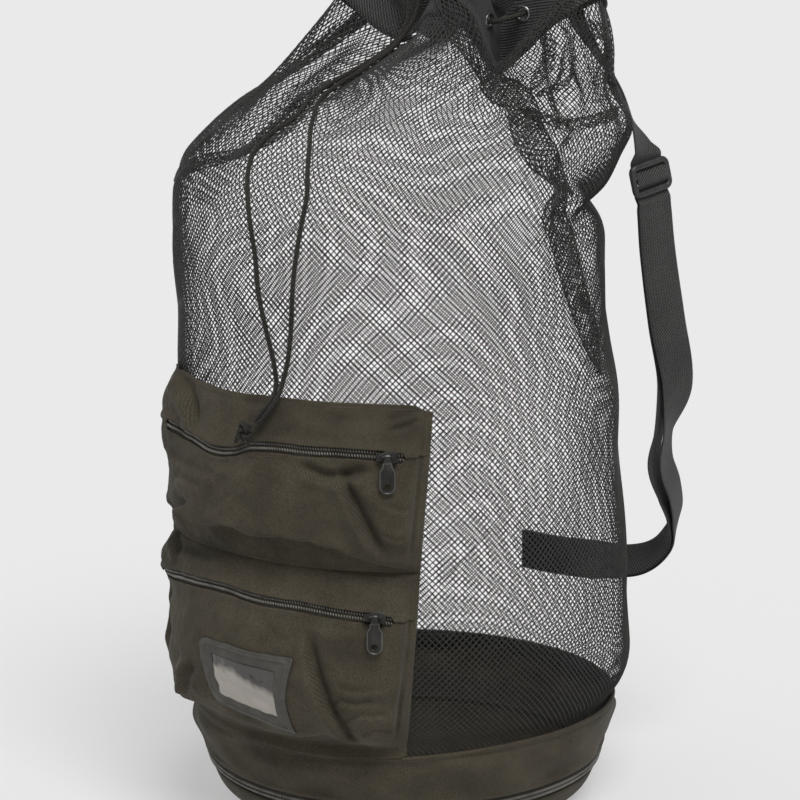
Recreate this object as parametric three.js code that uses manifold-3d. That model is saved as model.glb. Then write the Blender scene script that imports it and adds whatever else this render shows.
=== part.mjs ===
// Mesh gear bag: a net sack on a nylon base, with two zipped pockets, a laced mouth and a shoulder strap.
// Millimetres, +Z up. The origin is the middle of the underside, and the pockets face -Y.
// Angles round the bag are in degrees from the front, growing towards +X.
import * as THREE from "three";
import { mergeVertices } from "three/addons/utils/BufferGeometryUtils.js";
import Module from "manifold-3d";

const wasm = await Module();
wasm.setup();

// Cloth, cord and the clearances between pieces.
const NET = 1.6;
const NYLON = 2;
const TAPE = 2;
const GAP = 0.3;
const SEWN_GAP = 1;
const CORD = 3.5;
const STRAP_WIDTH = 30;
const STRAP_THICK = 1.8;
const SIDES = 48;
const BASE_SIDES = 36;

// The side that the mouth leans to, where the strap is sewn and the pleats lie flat.
const STRAP_SIDE = 154;
const STRAP_FLAT = 32;
const PLEATS = 6;
const FIRST_PLEAT = 26.25;

// The side where the mouth stands highest, above the swell of the hood.
const HOOD_SIDE = 112;
const HOOD_ACROSS = 40;

// Rings of the net, from the base up: pleats swing each ring out by pleat and up by lift.
// On the hood side each ring also stands up by rise.
const SACK = [
  { height: 70, radius: 149.6, shift: 0, pleat: 0, lift: 0, rise: 0 },
  { height: 80, radius: 150.2, shift: 0, pleat: 0, lift: 0, rise: 0 },
  { height: 92, radius: 158, shift: 0, pleat: 0, lift: 0, rise: 0 },
  { height: 116, radius: 165, shift: 0, pleat: 0, lift: 0, rise: 0 },
  { height: 170, radius: 167, shift: 0, pleat: 0, lift: 0, rise: 0 },
  { height: 290, radius: 164, shift: 0, pleat: 0, lift: 0, rise: 0 },
  { height: 350, radius: 159.5, shift: -4, pleat: 0, lift: 0, rise: 0 },
  { height: 420, radius: 158, shift: -9, pleat: 0, lift: 0, rise: 0 },
  { height: 442, radius: 158, shift: -9, pleat: 0, lift: 0, rise: 0 },
  { height: 454, radius: 158, shift: -9, pleat: 0, lift: 0, rise: 0 },
  { height: 467, radius: 158, shift: -7, pleat: 0, lift: 0, rise: 0 },
  { height: 483, radius: 155, shift: -2, pleat: 0, lift: 0, rise: 0 },
  { height: 500, radius: 147, shift: 6, pleat: 1, lift: 0, rise: 0 },
  { height: 517, radius: 134, shift: 16, pleat: 3, lift: 1, rise: 0 },
  { height: 532, radius: 118, shift: 28, pleat: 6, lift: 2, rise: 3 },
  { height: 546, radius: 101, shift: 42, pleat: 10, lift: 5, rise: 9 },
  { height: 558, radius: 85, shift: 53, pleat: 14, lift: 9, rise: 18 },
  { height: 569, radius: 70, shift: 62, pleat: 18, lift: 14, rise: 28 },];

// The collar tape goes on from the last ring of the net.
const COLLAR = [
  { height: 569.4, radius: 69.8, shift: 62, pleat: 18, lift: 14, rise: 28 },
  { height: 578.5, radius: 70.4, shift: 62, pleat: 18.4, lift: 14.4, rise: 28 },
  { height: 594.5, radius: 71.8, shift: 62, pleat: 18.8, lift: 15, rise: 28 },
  { height: 604, radius: 72.6, shift: 62, pleat: 19, lift: 15.4, rise: 28 },
];

// Creases and swells of the net: the middle, its spread, how deep it goes, and its climb per degree.
const FOLDS = [
  { turn: 124, height: 454, across: 30, tall: 13, depth: -14, climb: 0 },
  { turn: 124, height: 508, across: 30, tall: 24, depth: 24, climb: 0 },
  { turn: 86, height: 425, across: 8, tall: 70, depth: -11, climb: -0.6 },
  { turn: 100, height: 470, across: 14, tall: 20, depth: 7, climb: 0.5 },
  { turn: -22, height: 498, across: 38, tall: 11, depth: -7, climb: 0.9 },
  { turn: 62, height: 300, across: 26, tall: 80, depth: 3, climb: 0 },
  { turn: 128, height: 150, across: 30, tall: 45, depth: 5, climb: 0 },
  { turn: 126, height: 88, across: 62, tall: 40, depth: 8, climb: 0 },
  { turn: 111, height: 566, across: 26, tall: 31, depth: 34, climb: 0 },
  { turn: -56, height: 560, across: 24, tall: 22, depth: 7, climb: 0 },
  { turn: 250, height: 380, across: 20, tall: 60, depth: -5, climb: 0.4 },
];

// Base: the bottom panel, then the zip, then the wall, as rings.
const BOTTOM_PANEL = [
  { reach: 112, height: 0 },
  { reach: 124, height: 4 },
  { reach: 134, height: 14 },
  { reach: 141, height: 31 },
];
const BASE_ZIP = [
  { reach: 141.2, height: 31.3 },
  { reach: 144.7, height: 42.7 },
];
const BASE_WALL = [
  { reach: 145, height: 43 },
  { reach: 150, height: 55 },
  { reach: 153, height: 67 },
  { reach: 153, height: 79 },
];

// The base swells out on one side.
const SWELL = { turn: 126, across: 62, out: 8 };

// Pockets: where each starts and ends, how it stands off the net, and where its zip and slider are.
const POCKET_HALF = 42;
const POCKET_COLUMNS = 14;
const GUSSET_POWER = { left: 3.5, right: 9 };
const ZIP_TALL = 9;
const ZIP_RIDGE = 1.2;
const POCKETS = {
  lower: {
    foot: 80.5,
    head: 212,
    zip: 0.79,
    slider: 0.73,
    rows: [
      { rise: 0, lift: 2 },
      { rise: 0.03, lift: 9 },
      { rise: 0.087, lift: 17 },
      { rise: 0.15, lift: 20.5 },
      { rise: 0.27, lift: 23.2 },
      { rise: 0.35, lift: 24 },
      { rise: 0.58, lift: 22 },
      { rise: 0.79, lift: 15 },
      { rise: 0.92, lift: 8 },
      { rise: 1, lift: 1 },
    ],
  },
  upper: {
    foot: 214,
    head: 334,
    zip: 0.71,
    slider: 0.79,
    rows: [
      { rise: 0, lift: 2 },
      { rise: 0.08, lift: 15 },
      { rise: 0.26, lift: 21 },
      { rise: 0.5, lift: 18 },
      { rise: 0.71, lift: 13 },
      { rise: 0.88, lift: 6 },
      { rise: 1, lift: 0.4 },
    ],
  },
};

// Card window on the lower pocket.
const WINDOW = { side: 0.07, rise: 0.35, wide: 84, tall: 56, corner: 7 };
const PANE = { wide: 56, tall: 33, corner: 2 };
const WINDOW_OFF = 0.8;
const WINDOW_THICK = 1.4;
const WINDOW_COLUMNS = 32;

// Eyelets: the flanks of the pleats that carry one, in the order the cord takes them.
const EYELETS = [11.25, 41.25, 71.25, 221.25, 251.25, 281.25, 311.25, 341.25];
const EYELET_BORE = 3.4;
const EYELET_BARREL = 4.3;
const EYELET_FLANGE = 6.4;
const EYELET_LIP = 0.9;
const EYELET_CLEAR = 0.6;
const CORD_INSIDE_REACH = 43;
const CORD_STRAIGHT = 5;

// Free strands of the drawcord, from the collar down the front to the knot.
const LEFT_STRAND = [
  [7.2, -15.8, 586.2],
  [8.6, -18.4, 585.4],
  [8.5, -23.5, 579.5],
  [5, -30, 569],
  [0.5, -38.5, 560.5],
  [-4.5, -50, 553.5],
  [-8.5, -63, 547],
  [-11.5, -78, 540.5],
  [-12, -91, 533.8],
  [-11.5, -102, 527.6],
  [-13, -111.5, 521],
  [-21, -120, 514.5],
  [-25, -130, 507],
  [-24.5, -138.5, 502],
  [-23, -146, 496.5],
  [-15, -160.2, 483],
  [-6.5, -168.8, 459.5],
  [-1.2, -169.5, 432.7],
  [1, -169, 407.6],
  [6, -167.8, 383.6],
  [12.2, -166.6, 358.9],
  [14.4, -166.6, 341.3],
  [14, -171, 329.5],
  [9.5, -177, 320],
  [5.6, -182, 313],
];
const RIGHT_STRAND = [
  [37.7, -17.7, 586.2],
  [35.4, -20.2, 585.4],
  [29.5, -24.5, 579],
  [20, -31.5, 568],
  [10, -41, 558],
  [2.5, -51, 551],
  [-2.5, -67.5, 543],
  [-5, -81.5, 537.2],
  [-3.7, -92.3, 532],
  [1.3, -104, 525.2],
  [10, -119.5, 517.5],
  [19.3, -133, 509.8],
  [30, -149.6, 493.6],
  [35.9, -158.2, 479.4],
  [34, -165.6, 448],
  [29.4, -166.2, 416.8],
  [27, -165.6, 385.6],
  [24, -165.6, 360],
  [19.6, -166.4, 342.5],
  [18.6, -170.8, 331.5],
  [14, -176.7, 320],
  [9.4, -182, 311.5],
];
const STRAND_STEPS = 28;
const LACED_STEPS = 42;
const KNOT = { middle: [0, -184.5, 305], size: 4.6 };

// Shoulder strap: its middle line, and the way its outer face looks.
const STRAP = [
  { turn: 154, reach: 143, height: 610, faceTurn: 154, faceTilt: 0 },
  { turn: 154, reach: 142.6, height: 591, faceTurn: 154, faceTilt: 4 },
  { turn: 153, reach: 149.5, height: 570, faceTurn: 149, faceTilt: 22 },
  { turn: 150, reach: 161, height: 548, faceTurn: 137, faceTilt: 20 },
  { turn: 147, reach: 176, height: 521, faceTurn: 126, faceTilt: 10 },
  { turn: 145, reach: 183.5, height: 497, faceTurn: 116, faceTilt: 4 },
  { turn: 144, reach: 190, height: 476, faceTurn: 82, faceTilt: 0 },
  { turn: 143.5, reach: 194, height: 456, faceTurn: 64, faceTilt: 0 },
  { turn: 143.5, reach: 197.5, height: 434, faceTurn: 62, faceTilt: 0 },
  { turn: 143.5, reach: 201, height: 400, faceTurn: 60, faceTilt: 0 },
  { turn: 143.5, reach: 209.5, height: 345, faceTurn: 58, faceTilt: 0 },
  { turn: 144, reach: 218, height: 295, faceTurn: 66, faceTilt: 0 },
  { turn: 144, reach: 209, height: 260, faceTurn: 108, faceTilt: 0 },
  { turn: 144, reach: 206, height: 236, faceTurn: 100, faceTilt: 0 },
  { turn: 144.5, reach: 211, height: 205, faceTurn: 76, faceTilt: -6 },
  { turn: 147, reach: 208, height: 176, faceTurn: 64, faceTilt: -32 },
  { turn: 152, reach: 196, height: 158, faceTurn: 80, faceTilt: -50 },
  { turn: 159, reach: 182, height: 151, faceTurn: 130, faceTilt: -35 },
  { turn: 167, reach: 171.5, height: 149, faceTurn: 165, faceTilt: -6 },
  { turn: 174, reach: 169.4, height: 149, faceTurn: 174, faceTilt: 0 },
  { turn: 181, reach: 169.4, height: 149, faceTurn: 181, faceTilt: 0 },
];
const STRAP_STEPS = 38;
const BUCKLE_ROW = 7;

// Tri-glide buckle: three bars with two slots between them, and the strap over the middle bar.
const BUCKLE = { bar: 5, slot: 8, cheek: 4.5, thick: 3, clear: 1, weave: 3.1 };

// Sliders and pulls, on axes along the zip, out from it and up it.
const SLIDER = { long: 15, tall: 9.5, thick: 3.2, off: 1.8, post: 1.6, postAt: 3.6, bar: 0.8, barOff: 7.7 };
const PULL = { long: 25, wide: 8, neck: 5, thick: 1.4, eye: 2.3, bore: 1.35, eyeWide: 3.6, hole: 2.4, lean: 10 };

const RAD = Math.PI / 180;
const wrap = (degrees) => THREE.MathUtils.euclideanModulo(degrees + 180, 360) - 180;
const bell = (distance) => Math.exp(-distance * distance);

function polar(turn, reach, height) {
  return new THREE.Vector3(reach * Math.sin(turn * RAD), -reach * Math.cos(turn * RAD), height);
}

// A row between two rows of a table, with every column mixed.
function rowAt(table, row) {
  const low = THREE.MathUtils.clamp(Math.floor(row), 0, table.length - 2);
  const mixed = {};
  for (const column of Object.keys(table[low])) {
    mixed[column] = THREE.MathUtils.lerp(table[low][column], table[low + 1][column], row - low);
  }
  return mixed;
}

// The row of a table at which one of its columns reaches a value.
function rowWhere(table, column, value) {
  const next = table.findIndex((row) => row[column] >= value);
  const high = THREE.MathUtils.clamp(next < 0 ? table.length - 1 : next, 1, table.length - 1);
  const from = table[high - 1][column];
  return high - 1 + (value - from) / (table[high][column] - from);
}

function pleatAt(turn) {
  const flat = 1 - bell(wrap(turn - STRAP_SIDE) / STRAP_FLAT);
  return Math.cos(PLEATS * (turn - FIRST_PLEAT) * RAD) * flat;
}

function foldAt(turn, height) {
  let sum = 0;
  for (const fold of FOLDS) {
    const away = wrap(turn - fold.turn);
    const above = height - fold.height - fold.climb * away;
    sum += fold.depth * bell(away / fold.across) * bell(above / fold.tall);
  }
  return sum;
}

// A point of a cloth ring: the ring's middle is shifted towards the strap side.
function ringPoint(table, turn, row) {
  const ring = rowAt(table, row);
  const pleat = pleatAt(turn);
  const reach = ring.radius + ring.pleat * pleat + foldAt(turn, ring.height);
  const hood = bell(wrap(turn - HOOD_SIDE) / HOOD_ACROSS);
  const height = ring.height + ring.lift * pleat + ring.rise * hood;
  return polar(turn, reach, height).add(polar(STRAP_SIDE, ring.shift, 0));
}

function ringNormal(table, turn, row) {
  const along = ringPoint(table, turn + 2, row).sub(ringPoint(table, turn - 2, row));
  const low = Math.max(row - 0.5, 0);
  const high = Math.min(row + 0.5, table.length - 1);
  const up = ringPoint(table, turn, high).sub(ringPoint(table, turn, low));
  return along.cross(up).normalize();
}

function netReach(turn, height) {
  const ring = rowAt(SACK, rowWhere(SACK, "height", height));
  return ring.radius + ring.shift * Math.cos((turn - STRAP_SIDE) * RAD) + foldAt(turn, height);
}

// A closed wall between an outer and an inner face, each a function of column and row.
function wall(outer, inner, columns, rows, round) {
  const wide = round ? columns : columns + 1;
  const layer = wide * (rows + 1);
  const points = [];
  for (const face of [outer, inner]) {
    for (let j = 0; j <= rows; j++) {
      for (let i = 0; i < wide; i++) {
        points.push(...face(i, j).toArray());
      }
    }
  }
  const out = (i, j) => j * wide + (i % wide);
  const into = (i, j) => layer + out(i, j);
  const corners = [];
  const quad = (a, b, c, d) => corners.push(a, b, c, a, c, d);
  for (let i = 0; i < columns; i++) {
    for (let j = 0; j < rows; j++) {
      quad(out(i, j), out(i + 1, j), out(i + 1, j + 1), out(i, j + 1));
      quad(into(i, j), into(i, j + 1), into(i + 1, j + 1), into(i + 1, j));
    }
    quad(into(i, 0), into(i + 1, 0), out(i + 1, 0), out(i, 0));
    quad(out(i, rows), out(i + 1, rows), into(i + 1, rows), into(i, rows));
  }
  for (let j = 0; j < rows && !round; j++) {
    quad(out(0, j), out(0, j + 1), into(0, j + 1), into(0, j));
    quad(out(columns, j), into(columns, j), into(columns, j + 1), out(columns, j + 1));
  }
  const geometry = new THREE.BufferGeometry();
  geometry.setAttribute("position", new THREE.Float32BufferAttribute(points, 3));
  geometry.setIndex(corners);
  return geometry;
}

// Joining and cutting closed solids.
function toSolid(geometry) {
  const bare = geometry.clone();
  bare.deleteAttribute("normal");
  bare.deleteAttribute("uv");
  const merged = mergeVertices(bare, 1e-4);
  return new wasm.Manifold(
    new wasm.Mesh({
      numProp: 3,
      vertProperties: new Float32Array(merged.attributes.position.array),
      triVerts: new Uint32Array(merged.index.array),
    }),
  );
}

function fromSolid(solid) {
  const mesh = solid.getMesh();
  const geometry = new THREE.BufferGeometry();
  geometry.setAttribute("position", new THREE.BufferAttribute(mesh.vertProperties, 3));
  geometry.setIndex(new THREE.BufferAttribute(mesh.triVerts, 1));
  return geometry;
}

function join(shapes) {
  return fromSolid(wasm.Manifold.union(shapes.map(toSolid)));
}

function cut(shape, tools) {
  return fromSolid(toSolid(shape).subtract(wasm.Manifold.union(tools.map(toSolid))));
}

// Materials as they show in daylight.
function cloth(colour, roughness) {
  return new THREE.MeshStandardMaterial({ color: colour, roughness, metalness: 0 });
}

const nylonBlack = () => cloth(0x3a362e, 0.85);
const netBlack = () => cloth(0x2c2b29, 0.8);
const webBlack = () => cloth(0x34332f, 0.8);
const cordBlack = () => cloth(0x3c3a34, 0.75);
const zipBlack = () => cloth(0x2b2a27, 0.5);
const vinylGrey = () => cloth(0x55534e, 0.45);
const filmClear = () => cloth(0xa8a49a, 0.1);
const plasticBlack = () => cloth(0x2e2e2d, 0.45);
const metal = (colour) => new THREE.MeshStandardMaterial({ color: colour, roughness: 0.35, metalness: 0.9 });

const bag = new THREE.Group();
bag.name = "mesh_gear_bag";

function add(name, geometry, material, parent = bag) {
  const mesh = new THREE.Mesh(geometry, material);
  mesh.name = name;
  parent.add(mesh);
}

// Base: a bottom panel turned up at its rim, a zip ring and a wall.
function panelProfile(rows, thick) {
  const outer = rows.map((row) => new THREE.Vector2(row.reach, row.height));
  const inner = outer.map((point, i) => {
    const along = outer[Math.min(i + 1, outer.length - 1)].clone().sub(outer[Math.max(i - 1, 0)]).normalize();
    return new THREE.Vector2(point.x - along.y * thick, i === 0 ? thick : point.y + along.x * thick);
  });
  inner[inner.length - 1].y = outer[outer.length - 1].y;
  const middle = [new THREE.Vector2(0, 0), ...outer, ...inner.reverse(), new THREE.Vector2(0, thick)];
  return middle;
}

const swellAt = (turn) => SWELL.out * bell(wrap(turn - SWELL.turn) / SWELL.across);

function baseRing(rows, thick) {
  const point = (depth) => (i, j) => {
    const turn = (i * 360) / BASE_SIDES;
    return polar(turn, rows[j].reach + swellAt(turn) - depth, rows[j].height);
  };
  return wall(point(0), point(thick), BASE_SIDES, rows.length - 1, true);
}

// The swell reaches the bottom panel from its rim to the middle.
function swellOut(geometry) {
  const points = geometry.attributes.position;
  const rim = BOTTOM_PANEL[BOTTOM_PANEL.length - 1].reach;
  for (let k = 0; k < points.count; k++) {
    const [x, y] = [points.getX(k), points.getY(k)];
    const turn = Math.atan2(x, -y) / RAD;
    const grow = 1 + swellAt(turn) / rim;
    points.setXY(k, x * grow, y * grow);
  }
}

const bottom = new THREE.LatheGeometry(panelProfile(BOTTOM_PANEL, NYLON), BASE_SIDES);
bottom.rotateX(Math.PI / 2);
swellOut(bottom);
add("base_bottom", bottom, nylonBlack());
add("base_zip", baseRing(BASE_ZIP, NYLON), zipBlack());
add("base_wall", baseRing(BASE_WALL, NYLON), nylonBlack());

// Net sack and collar.
function clothRing(table, thick) {
  const turn = (i) => (i * 360) / SIDES;
  const outer = (i, j) => ringPoint(table, turn(i), j);
  const inner = (i, j) => outer(i, j).addScaledVector(ringNormal(table, turn(i), j), -thick);
  return wall(outer, inner, SIDES, table.length - 1, true);
}

add("net_sack", clothRing(SACK, NET), netBlack());

// Eyelet seats: the middle and the outward direction of the collar's wall at each flank.
const seats = EYELETS.map((turn) => {
  const half = 180 / SIDES;
  const corner = (side, row) => ringPoint(COLLAR, turn + side * half, row);
  const [a, b, c, d] = [corner(-1, 1), corner(1, 1), corner(1, 2), corner(-1, 2)];
  const outward = c.clone().sub(a).cross(d.clone().sub(b)).normalize();
  const middle = a.add(b).add(c).add(d).multiplyScalar(0.25);
  return { middle: middle.addScaledVector(outward, -TAPE / 2), outward };
});

function aimed(geometry, seat) {
  const spin = new THREE.Quaternion().setFromUnitVectors(new THREE.Vector3(0, 1, 0), seat.outward);
  return geometry.applyQuaternion(spin).translate(...seat.middle.toArray());
}

const punches = seats.map((seat) => {
  const bore = EYELET_BARREL + GAP;
  return aimed(new THREE.CylinderGeometry(bore, bore, TAPE * 4, 10), seat);
});
add("collar_tape", cut(clothRing(COLLAR, TAPE), punches), webBlack());

const flangeAt = TAPE / 2 + EYELET_CLEAR;
const eyeletProfile = [
  [EYELET_BORE, -flangeAt - EYELET_LIP],
  [EYELET_FLANGE, -flangeAt],
  [EYELET_BARREL, -flangeAt],
  [EYELET_BARREL, flangeAt],
  [EYELET_FLANGE, flangeAt],
  [EYELET_BORE, flangeAt + EYELET_LIP],
  [EYELET_BORE, -flangeAt - EYELET_LIP],
].map(([reach, height]) => new THREE.Vector2(reach, height));
seats.forEach((seat, k) => {
  const ring = aimed(new THREE.LatheGeometry(eyeletProfile, 8), seat);
  add(`eyelet_${k + 1}`, ring, metal(0x77777a));
});

// Pockets.
const sideAt = (i) => -Math.cos((Math.PI * i) / POCKET_COLUMNS);

function pocketPoint(pocket, side, rise, off) {
  const turn = side * POCKET_HALF;
  const height = THREE.MathUtils.lerp(pocket.foot, pocket.head, rise);
  const lift = rowAt(pocket.rows, rowWhere(pocket.rows, "rise", rise)).lift;
  const gusset = 1 - Math.abs(side) ** (side < 0 ? GUSSET_POWER.left : GUSSET_POWER.right);
  return polar(turn, netReach(turn, height) + SEWN_GAP + NYLON + lift * gusset + off, height);
}

function pocketPanel(pocket, from, to, ridge = 0) {
  const between = pocket.rows.map((row) => row.rise).filter((rise) => rise > from + 0.02 && rise < to - 0.02);
  const rises = [from, ...between, to];
  const middle = (from + to) / 2;
  const bump = (rise) => ridge * Math.max(0, 1 - Math.abs(rise - middle) / (to - middle));
  const outer = (i, j) => pocketPoint(pocket, sideAt(i), rises[j], bump(rises[j]));
  const inner = (i, j) => pocketPoint(pocket, sideAt(i), rises[j], -NYLON);
  return wall(outer, inner, POCKET_COLUMNS, rises.length - 1, false);
}

// A frame on a pocket: X along the zip, Y into the bag, Z up the cloth.
function pocketSeat(pocket, side, rise) {
  const here = pocketPoint(pocket, side, rise, 0);
  const right = pocketPoint(pocket, side + 0.02, rise, 0).sub(pocketPoint(pocket, side - 0.02, rise, 0)).normalize();
  const up = pocketPoint(pocket, side, rise + 0.05, 0).sub(pocketPoint(pocket, side, rise - 0.05, 0));
  const inward = up.clone().cross(right).normalize();
  const above = right.clone().cross(inward).normalize();
  const seat = new THREE.Group();
  seat.applyMatrix4(new THREE.Matrix4().makeBasis(right, inward, above).setPosition(here));
  bag.add(seat);
  return seat;
}

// A flat outline along X and Z, thickened outwards from a given depth.
function plate(outline, off, thick) {
  const solid = new THREE.ExtrudeGeometry(outline, { depth: thick, bevelEnabled: false, curveSegments: 3 });
  return solid.rotateX(Math.PI / 2).translate(0, -off, 0);
}

function alongX(radius, long, off, sides) {
  return new THREE.CylinderGeometry(radius, radius, long, sides).rotateZ(Math.PI / 2).translate(0, -off, 0);
}

function sliderBody() {
  const { long, tall, thick, off, post, postAt, bar, barOff } = SLIDER;
  const outline = new THREE.Shape();
  outline.moveTo(-long / 2, -tall * 0.28);
  outline.lineTo(-long * 0.2, -tall * 0.3);
  outline.lineTo(long * 0.18, -tall / 2);
  outline.lineTo(long / 2, -tall * 0.36);
  outline.lineTo(long / 2, tall * 0.36);
  outline.lineTo(long * 0.18, tall / 2);
  outline.lineTo(-long * 0.2, tall * 0.3);
  outline.lineTo(-long / 2, tall * 0.28);
  outline.closePath();
  const body = plate(outline, off, thick);
  const rise = barOff + bar * 1.2 - off - thick / 2;
  const posts = [-1, 1].map((side) => {
    const box = new THREE.BoxGeometry(post, rise, bar * 2.6);
    return box.translate(side * postAt, -(off + thick / 2 + rise / 2), 0);
  });
  const rod = alongX(bar, postAt * 2, barOff, 8);
  return join([body, ...posts, rod]);
}

// A pull tab about its own hinge line: an eye, a neck and a tab with a round hole.
function pullTab() {
  const { long, wide, neck, thick, eye, bore, eyeWide, hole } = PULL;
  const outline = new THREE.Shape();
  outline.moveTo(-neck / 2, -eye * 0.5);
  outline.lineTo(-neck / 2, -long * 0.3);
  outline.lineTo(-wide / 2, -long * 0.42);
  outline.lineTo(-wide / 2, -long + wide / 2);
  outline.absarc(0, -long + wide / 2, wide / 2, Math.PI, 2 * Math.PI, false);
  outline.lineTo(wide / 2, -long * 0.42);
  outline.lineTo(neck / 2, -long * 0.3);
  outline.lineTo(neck / 2, -eye * 0.5);
  outline.closePath();
  const ring = new THREE.Path();
  ring.absarc(0, -long + wide / 2, hole, 0, 2 * Math.PI, true);
  outline.holes.push(ring);
  const tab = plate(outline, -thick / 2, thick);
  const barrel = alongX(eye, eyeWide, 0, 10);
  return cut(join([tab, barrel]), [alongX(bore, neck * 3, 0, 10)]);
}

for (const [name, pocket] of Object.entries(POCKETS)) {
  const tall = pocket.head - pocket.foot;
  const half = ZIP_TALL / 2 / tall;
  const slit = GAP / tall;
  add(`pocket_${name}_front`, pocketPanel(pocket, 0, pocket.zip - half - slit), nylonBlack());
  add(`pocket_${name}_zip`, pocketPanel(pocket, pocket.zip - half, pocket.zip + half, ZIP_RIDGE), zipBlack());
  add(`pocket_${name}_top`, pocketPanel(pocket, pocket.zip + half + slit, 1), nylonBlack());
  const seat = pocketSeat(pocket, pocket.slider, pocket.zip);
  add(`slider_${name}`, sliderBody(), metal(0x2d2c2a), seat);
  const hinge = new THREE.Group();
  hinge.position.set(0, -SLIDER.barOff, 0);
  hinge.rotation.x = PULL.lean * RAD;
  seat.add(hinge);
  add(`pull_${name}`, pullTab(), metal(0x2d2c2a), hinge);
}

// Card window: a vinyl frame with rounded corners and a clear film in it.
const arc = (pocket) => netReach(0, pocket.foot + WINDOW.rise * (pocket.head - pocket.foot)) + 26;

function windowPoint(across, up, off) {
  const pocket = POCKETS.lower;
  const side = WINDOW.side + across / (arc(pocket) * POCKET_HALF * RAD);
  const rise = WINDOW.rise + up / (pocket.head - pocket.foot);
  return pocketPoint(pocket, side, rise, WINDOW_OFF + off);
}

// Evenly spaced points along a rectangle with rounded corners.
function roundedRim(wide, tall, radius) {
  const [x, y] = [wide / 2, tall / 2];
  const rim = new THREE.Path();
  rim.moveTo(x, 0);
  rim.lineTo(x, y - radius);
  rim.absarc(x - radius, y - radius, radius, 0, Math.PI / 2);
  rim.lineTo(-x + radius, y);
  rim.absarc(-x + radius, y - radius, radius, Math.PI / 2, Math.PI);
  rim.lineTo(-x, -y + radius);
  rim.absarc(-x + radius, -y + radius, radius, Math.PI, Math.PI * 1.5);
  rim.lineTo(x - radius, -y);
  rim.absarc(x - radius, -y + radius, radius, Math.PI * 1.5, Math.PI * 2);
  rim.lineTo(x, 0);
  return rim.getSpacedPoints(WINDOW_COLUMNS);
}

function windowFrame() {
  const rims = [
    roundedRim(WINDOW.wide, WINDOW.tall, WINDOW.corner),
    roundedRim(PANE.wide, PANE.tall, PANE.corner),
  ];
  const face = (off) => (i, j) => windowPoint(rims[j][i].x, rims[j][i].y, off);
  return wall(face(WINDOW_THICK), face(0), WINDOW_COLUMNS, 1, true);
}

function windowFilm() {
  const wide = PANE.wide - 8 * GAP;
  const tall = PANE.tall - 8 * GAP;
  const face = (off) => (i, j) => windowPoint(wide * (i / 6 - 0.5), tall * (j / 4 - 0.5), off);
  return wall(face(1), face(0), 6, 4, false);
}

add("window_frame", windowFrame(), vinylGrey());
add("window_film", windowFilm(), filmClear());

// Slider of the base zip, closed up at the back.
const baseSeat = new THREE.Group();
baseSeat.position.copy(polar(180, 143 + swellAt(180), 37));
baseSeat.rotation.z = Math.PI;
bag.add(baseSeat);
const baseTab = new THREE.Shape();
baseTab.moveTo(-PULL.neck / 2, 0);
baseTab.lineTo(-PULL.wide / 2, -PULL.long * 0.4);
baseTab.lineTo(-PULL.wide / 2, -PULL.long);
baseTab.lineTo(PULL.wide / 2, -PULL.long);
baseTab.lineTo(PULL.wide / 2, -PULL.long * 0.4);
baseTab.lineTo(PULL.neck / 2, 0);
baseTab.closePath();
const baseHandle = plate(baseTab, SLIDER.barOff - PULL.thick / 2, PULL.thick);
const baseBarrel = alongX(PULL.eye, PULL.neck, SLIDER.barOff, 10);
add("base_slider", join([sliderBody(), baseBarrel, baseHandle]), metal(0x2d2c2a), baseSeat);

// Strap: a flat ribbon along its table, woven through the buckle.
const strapLine = new THREE.CatmullRomCurve3(STRAP.map((row) => polar(row.turn, row.reach, row.height)));
const buckleAt = BUCKLE_ROW / (STRAP.length - 1);
const pitch = BUCKLE.bar + BUCKLE.slot;

function strapFrame(part) {
  const row = rowAt(STRAP, part * (STRAP.length - 1));
  const middle = strapLine.getPoint(part);
  const along = strapLine.getTangent(part);
  const face = polar(row.faceTurn, Math.cos(row.faceTilt * RAD), Math.sin(row.faceTilt * RAD));
  const across = face.cross(along).normalize();
  const outward = along.clone().cross(across).normalize();
  return { middle, along, across, outward };
}

const buckleFrame = strapFrame(buckleAt);

// How far the ribbon stands off the buckle's plane, at distances along the strap.
const barHalf = BUCKLE.bar / 2 + 0.5;
const runOut = pitch + BUCKLE.bar * 1.4;
const weave = [
  { distance: -runOut, off: 0 },
  { distance: -pitch - barHalf, off: -BUCKLE.weave },
  { distance: -pitch + barHalf, off: -BUCKLE.weave },
  { distance: -barHalf, off: BUCKLE.weave },
  { distance: barHalf, off: BUCKLE.weave },
  { distance: pitch - barHalf, off: -BUCKLE.weave },
  { distance: pitch + barHalf, off: -BUCKLE.weave },
  { distance: runOut, off: 0 },
];
const stations = [];
for (let k = 0; k <= STRAP_STEPS; k++) {
  const part = k / STRAP_STEPS;
  const { middle } = strapFrame(part);
  if (middle.distanceTo(buckleFrame.middle) > runOut + 4) {
    stations.push({ part, ...strapFrame(part) });
  }
}
const before = stations.filter((station) => station.part < buckleAt);
const after = stations.filter((station) => station.part > buckleAt);
const through = weave.map(({ distance, off }) => ({
  ...buckleFrame,
  middle: buckleFrame.middle
    .clone()
    .addScaledVector(buckleFrame.along, distance)
    .addScaledVector(buckleFrame.outward, off),
}));
const ribbon = [...before, ...through, ...after];

function ribbonFace(off) {
  return (i, j) => {
    const { middle, across, outward } = ribbon[i];
    const point = middle.clone().addScaledVector(across, (0.5 - j) * STRAP_WIDTH);
    return point.addScaledVector(outward, off);
  };
}

const strap = wall(ribbonFace(-STRAP_THICK / 2), ribbonFace(STRAP_THICK / 2), ribbon.length - 1, 1, false);
add("shoulder_strap", strap, webBlack());

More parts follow.
